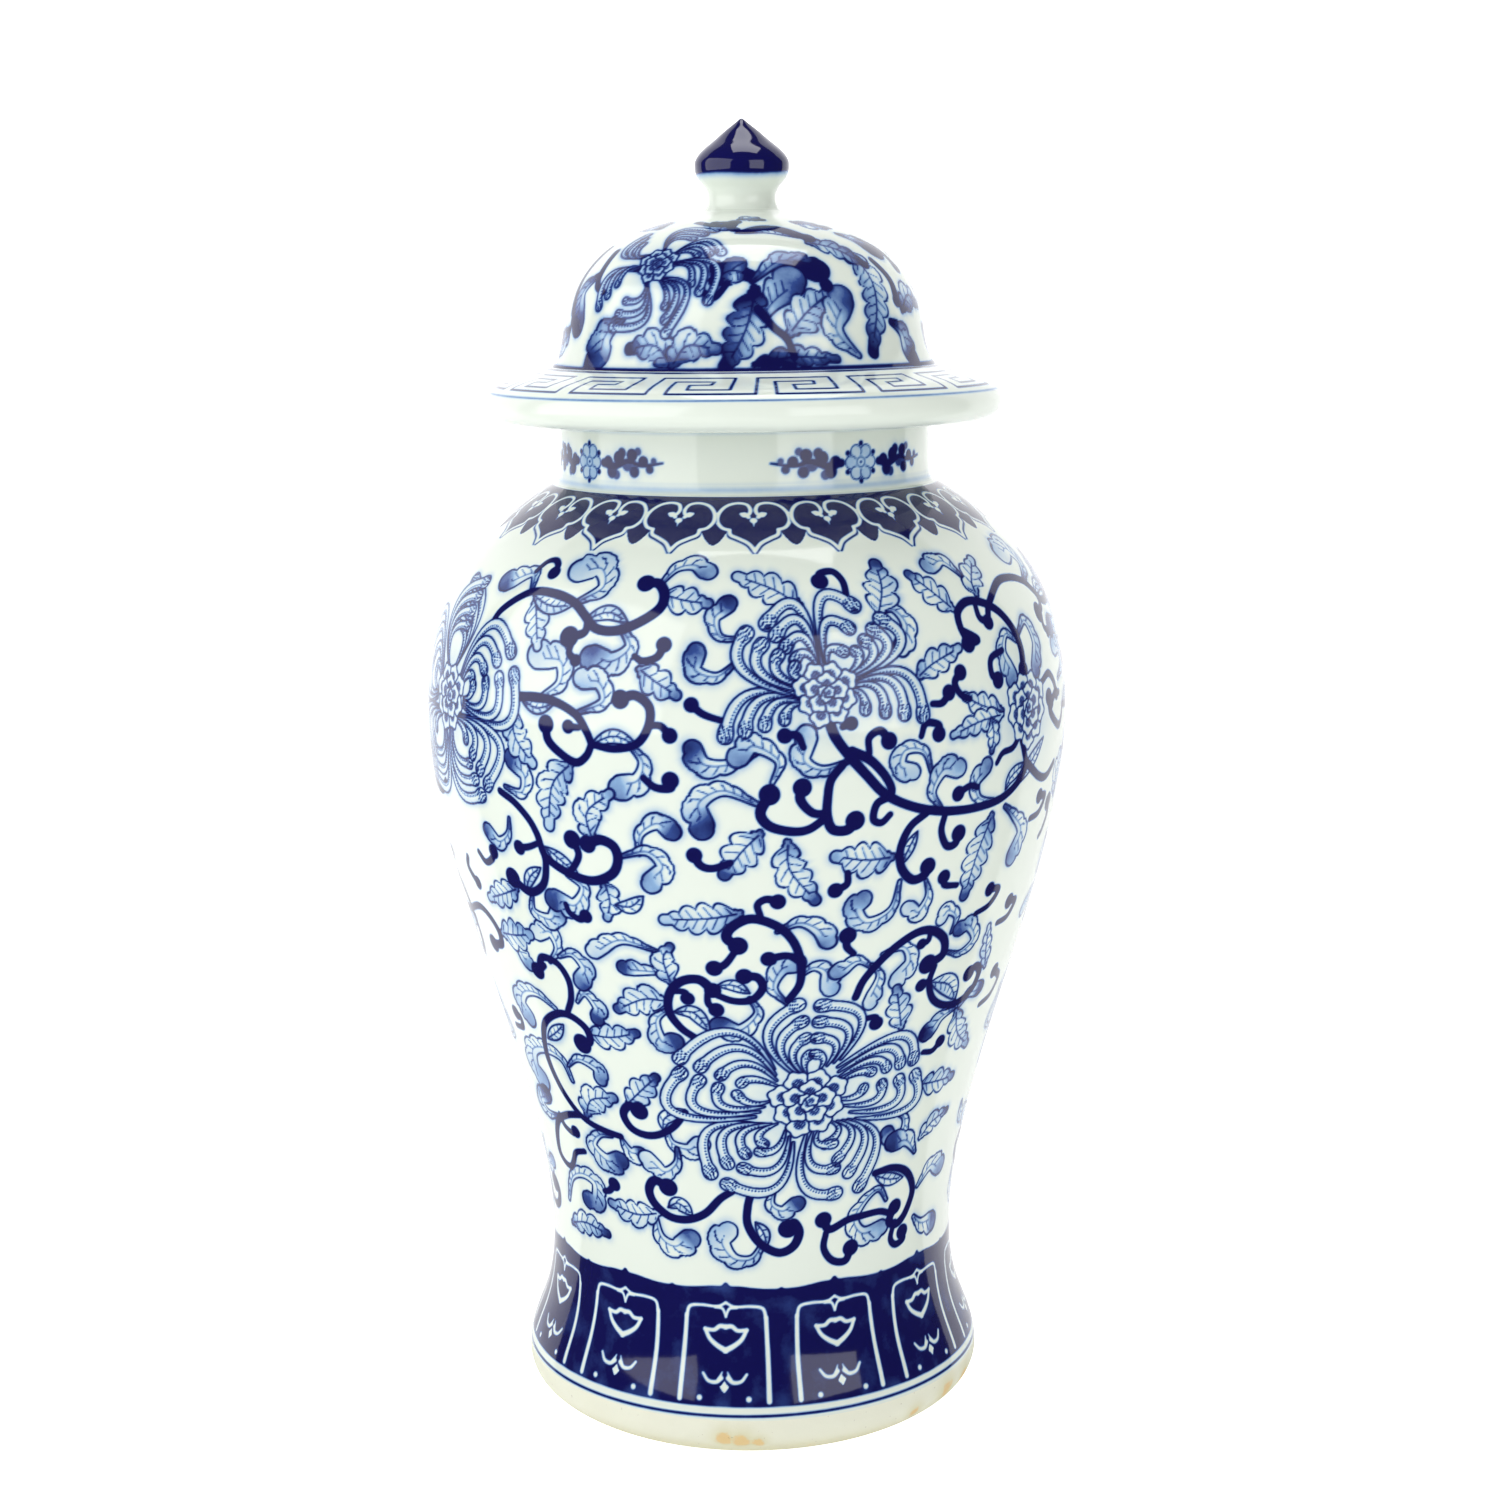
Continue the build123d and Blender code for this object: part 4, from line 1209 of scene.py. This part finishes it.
class JAR_OT_foot(bpy.types.Operator):
    """Turns the unglazed foot ring and the floor of the jar"""
    bl_idname = "jar.foot"
    bl_label = "Foot and floor"

    def execute(self, context):
        look, _ = jar_settings()
        clay = material_of("bare_clay", look)
        outer = np.vstack([smooth(FOOT_LINE, (1, 0.05), (0, 1), 0.8), between(BODY, GLAZE_LOW, FOOT_TOP)[1:]])
        section = np.vstack([outer, [[FLOOR_R, FOOT_TOP], [FLOOR_R, FLOOR_UNDER], [FOOT_BORE, FLOOR_UNDER],
                                     [FOOT_BORE, 1.0], [FOOT_BORE + 1, 0.0]]])
        paint = Paint(outer, 0.5)
        for at, reach, depth in RUST_SPOTS:
            paint.add_glow(at, reach, depth)
        low = np.exp(-(np.clip(paint.height - 12, 0, None) / 4) ** 2)[:, None]
        paint.wash = np.maximum(paint.wash, 0.5 * low)
        paint.finish(0)
        piece("foot_turned", eased(section), FOOT_COLUMNS, "foot_ring", "jar", [clay], paint, outer)
        radii = np.linspace(0, FLOOR_R, 24)
        disc = np.vstack([np.c_[radii, np.full(24, FLOOR_UNDER)], np.c_[radii[::-1], np.full(24, FOOT_TOP)]])
        piece("floor_turned", disc, PLAIN_COLUMNS, "jar_floor", "jar", [clay])
        return {"FINISHED"}


def eased(section):
    """Drops repeated points from a closed section."""
    keep = [section[0]]
    for point in section[1:]:
        if np.hypot(*(point - keep[-1])) > 1e-3:
            keep.append(point)
    if np.hypot(*(keep[0] - keep[-1])) < 1e-3:
        keep.pop()
    return np.array(keep)


class JAR_OT_wall(bpy.types.Operator):
    """Turns the four luted sections of the wall and paints them"""
    bl_idname = "jar.wall"
    bl_label = "Painted wall"

    def execute(self, context):
        for name, low, high in (("flared_base", FOOT_TOP, WAIST), ("lower_body", WAIST, SEAM),
                                ("upper_body", SEAM, GIRTH), ("shoulder", GIRTH, SHOULDER)):
            wall_section(name, low, high)
        return {"FINISHED"}


class JAR_OT_neck(bpy.types.Operator):
    """Turns the upright neck with its four flowers"""
    bl_idname = "jar.neck"
    bl_label = "Neck"

    def execute(self, context):
        look, detail = jar_settings()
        outer = np.vstack([smooth(NECK_LINE, INTO_NECK, (0, 1), 0.3), [[NECK_R, 359.3], [LIP_R, SEAT]]])
        outer = resampled(outer, 0.5)
        outer[-1] = LIP_R, SEAT
        paint = Paint(outer, detail.grain / MM)
        neck_flowers(paint)
        paint.ring(2.0, 1.5, 0.24, 0.9)
        paint.ring(3.9, 0.5, 0.1, 0.6)
        paint.ring(21.0, 1.0, 0.16, 0.8)
        paint.finish(0.1)
        section = np.vstack([outer, arc((BORE_R + 1.2, 359.3), 1.2, 90, 180, 5),
                             resampled([(BORE_R, 358), (BORE_R, SHOULDER)], 3)])
        piece("neck_glazed", eased(section), NECK_COLUMNS, "neck", "jar",
              [material_of("painted_porcelain", look)], paint, outer)
        return {"FINISHED"}


class JAR_OT_brim(bpy.types.Operator):
    """Turns the lid's rolled brim with its fret, and the unglazed locating ring below it"""
    bl_idname = "jar.brim"
    bl_label = "Brim and locating ring"

    def execute(self, context):
        look, detail = jar_settings()
        outer = smooth(BRIM_LINE, (0, 1), (-0.95, 0.3), 0.35)
        paint = Paint(outer, detail.grain / MM)
        paint.ring(5.2, 0.55, 0.6, 0.4)
        fret(paint, 8.3, 22.7)
        paint.ring(27.5, 1.3, 0.9, 0.4)
        paint.finish(0.06)
        roll = arc((0, 0), 1, -90, 0, 24) * (ROLL_IN, ROLL - BRIM_UNDER) + (BRIM_R - ROLL_IN, ROLL)
        under = [[DISH_R, DOME_BASE], [GUIDE_BORE, 366.4], [GUIDE_BORE, SEAT], [77.0, SEAT], [80.0, BRIM_UNDER]]
        section = np.vstack([outer, [under[0]], resampled(under[:2], 2)[1:], resampled(under[1:3], 2)[1:],
                             resampled(under[2:4], 3)[1:], [under[4]], roll[:-1]])
        piece("brim_glazed", eased(section), BRIM_COLUMNS, "lid_brim", "lid",
              [material_of("painted_porcelain", look)], paint, outer)
        ring = np.vstack([arc((GUIDE_R - 1.2, GUIDE_LOW + 1.2), 1.2, -90, 0, 5),
                          resampled([(GUIDE_R, 346), (GUIDE_R, SEAT)], 2),
                          resampled([(GUIDE_BORE, SEAT), (GUIDE_BORE, 345)], 2),
                          arc((GUIDE_BORE + 1.2, GUIDE_LOW + 1.2), 1.2, 180, 270, 5)])
        piece("locating_ring_turned", eased(ring), PLAIN_COLUMNS, "lid_locating_ring", "lid",
              [material_of("bare_clay", look)])
        return {"FINISHED"}


class JAR_OT_dome(bpy.types.Operator):
    """Turns the lid's dome and paints it"""
    bl_idname = "jar.dome"
    bl_label = "Dome"

    def execute(self, context):
        look, detail = jar_settings()
        outer = smooth(DOME_LINE, (-0.55, 0.83), (-0.88, 0.47), 0.5)
        paint = Paint(outer, detail.grain / MM)
        lid_scrolls(paint)
        paint.wash = paint.soften(paint.wash, 0.8)
        paint.ring(0.6, 1.4, 0.85, 0.5)
        paint.finish(0.3)
        inside = resampled(smooth(DOME_INSIDE, (-0.05, 1), (-1, 0), 1.0), 2.5)[::-1]
        inside[0, 0] = 0.0
        top = resampled([(STEM_R, STEM), (0, STEM)], 2.5)
        section = np.vstack([inside, outer, top[1:]])
        piece("dome_glazed", section, DOME_COLUMNS, "lid_dome", "lid",
              [material_of("painted_porcelain", look)], paint, outer)
        return {"FINISHED"}


class JAR_OT_knob(bpy.types.Operator):
    """Turns the knob: a white collar below a pointed cobalt bud"""
    bl_idname = "jar.knob"
    bl_label = "Knob"

    def execute(self, context):
        look, detail = jar_settings()
        collar = smooth(KNOB_LINE, (-0.7, 0.7), (0, 1), 0.3)
        paint = Paint(collar, detail.grain / MM)
        turn = np.radians(np.arange(paint.columns) * 360 / paint.columns)
        edge = paint.height[-1] - 2.6 + 0.7 * np.cos(turn + 0.4) + 0.3 * np.sin(3 * turn)
        above = paint.height[:, None] - edge[None, :]
        paint.ink = np.maximum(paint.ink, 0.9 * cover(above, 0.5).astype(np.float32))
        paint.wash = np.maximum(paint.wash, 0.3 * np.exp(-(np.clip(-above, 0, None) / 1.8) ** 2))
        paint.finish(0.25)
        section = np.vstack([resampled([(0, STEM), (STEM_R, STEM)], 2), collar[1:],
                             resampled([(BUD_R, BUD_BASE), (0, BUD_BASE)], 2)[1:]])
        piece("collar_glazed", section, KNOB_COLUMNS, "knob_collar", "lid",
              [material_of("white_glaze", look)], paint, collar)
        bud = smooth(BUD_LINE, (0, 1), (-0.75, 0.65), 0.3)
        paint = Paint(bud, detail.grain / MM)
        paint.ink[:] = 0.9
        paint.finish(0)
        section = np.vstack([resampled([(0, BUD_BASE), (BUD_R, BUD_BASE)], 2), bud[1:], [[0, TOP]]])
        piece("bud_glazed", section, KNOB_COLUMNS, "knob_tip", "lid",
              [material_of("cobalt_glaze", look)], paint, bud)
        return {"FINISHED"}


# Name, place, aim and size in metres, power in watts, and whether the glaze mirrors it
LAMPS = (
    ("left softbox", (-0.84, -0.42, 0.7), (0, 0.02, 0.55), (1.4, 1.0), 8.3, True),
    ("right softbox", (0.68, -0.92, 0.6), (0, 0, 0.48), (0.74, 0.8), 4.0, True),
    ("ceiling light", (0.15, 0.18, 1.95), (0.15, 0.18, 0), (1.0, 0.75), 9.5, True),
    ("front fill", (0.2, -1.3, 2.0), (0, 0, 0.3), (2.2, 1.6), 5.2, False),
)
PAPER_SIDE, PAPER_BACK, PAPER_TOP, PAPER_FOOT, UNDER_JAR = 4, 2, 3.6, -3, -0.0005
# Light that each sheet gives the jar, and the share of the room's light that the glaze mirrors
FLOOR_GLOW, BACKDROP_GLOW, MIRRORED_ROOM = 0.33, 0.72, 0.3
SENSOR, SHIFT = 36, 0.0018


def soft_light(name, location, target, size, power, mirrored):
    """A white softbox. mirrored is whether the glaze shows it."""
    lamp = bpy.data.lights.new(name, "AREA")
    lamp.shape, lamp.size, lamp.size_y = "RECTANGLE", size[0], size[1]
    lamp.energy = power
    made = bpy.data.objects.new(name, lamp)
    bpy.context.scene.collection.objects.link(made)
    made.location = location
    aim = np.array(target, float) - np.array(location, float)
    made.rotation_euler = (math.atan2(math.hypot(aim[0], aim[1]), -aim[2]), 0, math.atan2(aim[0], -aim[1]) + math.pi)
    made.visible_glossy = mirrored


def sheet_of_paper(name, corners, glow):
    """A plain white sheet of the stage, evenly lit from behind. glow is the light it gives the jar."""
    mesh = bpy.data.meshes.new(name)
    mesh.from_pydata(corners, [], [(0, 1, 2, 3)])
    made = bpy.data.objects.new(name, mesh)
    bpy.context.scene.collection.objects.link(made)
    material, n, shader = new_material(name)
    seen = n.add("LightPath").outputs["Is Camera Ray"]
    n.tree.links.new(n.math("MULTIPLY_ADD", seen, 1 - glow, glow), shader.inputs["Emission Strength"])
    shader.inputs["Base Color"].default_value = (0.93, 0.93, 0.93, 1)
    shader.inputs["Roughness"].default_value = 0.9
    shader.inputs["Specular IOR Level"].default_value = 0.1
    shader.inputs["Emission Color"].default_value = (1, 1, 1, 1)
    mesh.materials.append(material)
    return made


class JAR_OT_studio(bpy.types.Operator):
    """Sets up the white studio: floor, soft lights and camera"""
    bl_idname = "jar.studio"
    bl_label = "Studio"

    def execute(self, context):
        scene = context.scene
        stage = scene.jar_stage
        scene.view_settings.view_transform = "Standard"
        world = bpy.data.worlds.new("white room")
        scene.world = world
        world.use_nodes = True
        background = world.node_tree.nodes["Background"]
        background.inputs["Color"].default_value = (1, 1, 1, 1)
        n = Nodes(world.node_tree)
        path = n.add("LightPath").outputs
        dim = n.math("MULTIPLY_ADD", path["Is Glossy Ray"], (MIRRORED_ROOM - 1) * stage.light, stage.light)
        bright = n.math("MULTIPLY_ADD", path["Is Camera Ray"], 1 - stage.light, dim)
        world.node_tree.links.new(bright, background.inputs["Strength"])
        left, right = -PAPER_SIDE, PAPER_SIDE
        floor = sheet_of_paper("floor", [(left, left, UNDER_JAR), (right, left, UNDER_JAR),
                                         (right, PAPER_BACK, UNDER_JAR), (left, PAPER_BACK, UNDER_JAR)],
                               FLOOR_GLOW)
        floor.visible_glossy = False
        sheet_of_paper("backdrop", [(left, PAPER_BACK, PAPER_FOOT), (right, PAPER_BACK, PAPER_FOOT),
                                    (right, PAPER_BACK, PAPER_TOP), (left, PAPER_BACK, PAPER_TOP)],
                       BACKDROP_GLOW)
        for lamp in LAMPS:
            soft_light(*lamp)
        camera = bpy.data.cameras.new("camera")
        camera.lens, camera.sensor_width, camera.shift_x = stage.lens, SENSOR, SHIFT
        holder = bpy.data.objects.new("camera", camera)
        scene.collection.objects.link(holder)
        holder.location = (0, -stage.distance, stage.height)
        down = math.radians(90) - stage.tilt
        holder.rotation_mode = "QUATERNION"
        tilt = (math.cos(down / 2), math.sin(down / 2), 0, 0)
        roll = (math.cos(stage.roll / 2), 0, 0, math.sin(stage.roll / 2))
        holder.rotation_quaternion = (tilt[0] * roll[0], tilt[1] * roll[0], -tilt[1] * roll[3], tilt[0] * roll[3])
        scene.camera = holder
        return {"FINISHED"}


class JAR_PT_panel(bpy.types.Panel):
    """The jar's pieces and settings"""
    bl_idname = "JAR_PT_panel"
    bl_label = "Temple jar"
    bl_space_type = "VIEW_3D"
    bl_region_type = "UI"
    bl_category = "Jar"

    def draw(self, context):
        for name, settings in (("Look", context.scene.jar_look), ("Detail", context.scene.jar_detail),
                               ("Studio", context.scene.jar_stage)):
            box = self.layout.box()
            box.label(text=name)
            for key in settings.__annotations__:
                box.prop(settings, key)
        for operator in OPERATORS:
            self.layout.operator(operator.bl_idname)


OPERATORS = (JAR_OT_foot, JAR_OT_wall, JAR_OT_neck, JAR_OT_brim, JAR_OT_dome, JAR_OT_knob, JAR_OT_studio)
GROUPS = {"jar_look": JAR_look, "jar_detail": JAR_detail, "jar_stage": JAR_stage}


def register():
    for kind in (*GROUPS.values(), *OPERATORS, JAR_PT_panel):
        bpy.utils.register_class(kind)
    for name, kind in GROUPS.items():
        setattr(bpy.types.Scene, name, bpy.props.PointerProperty(type=kind))


def unregister():
    for name in GROUPS:
        delattr(bpy.types.Scene, name)
    for kind in reversed((*GROUPS.values(), *OPERATORS, JAR_PT_panel)):
        bpy.utils.unregister_class(kind)


def main():
    register()
    for operator in OPERATORS:
        area, name = operator.bl_idname.split(".")
        getattr(getattr(bpy.ops, area), name)()


if __name__ == "__main__":
    main()
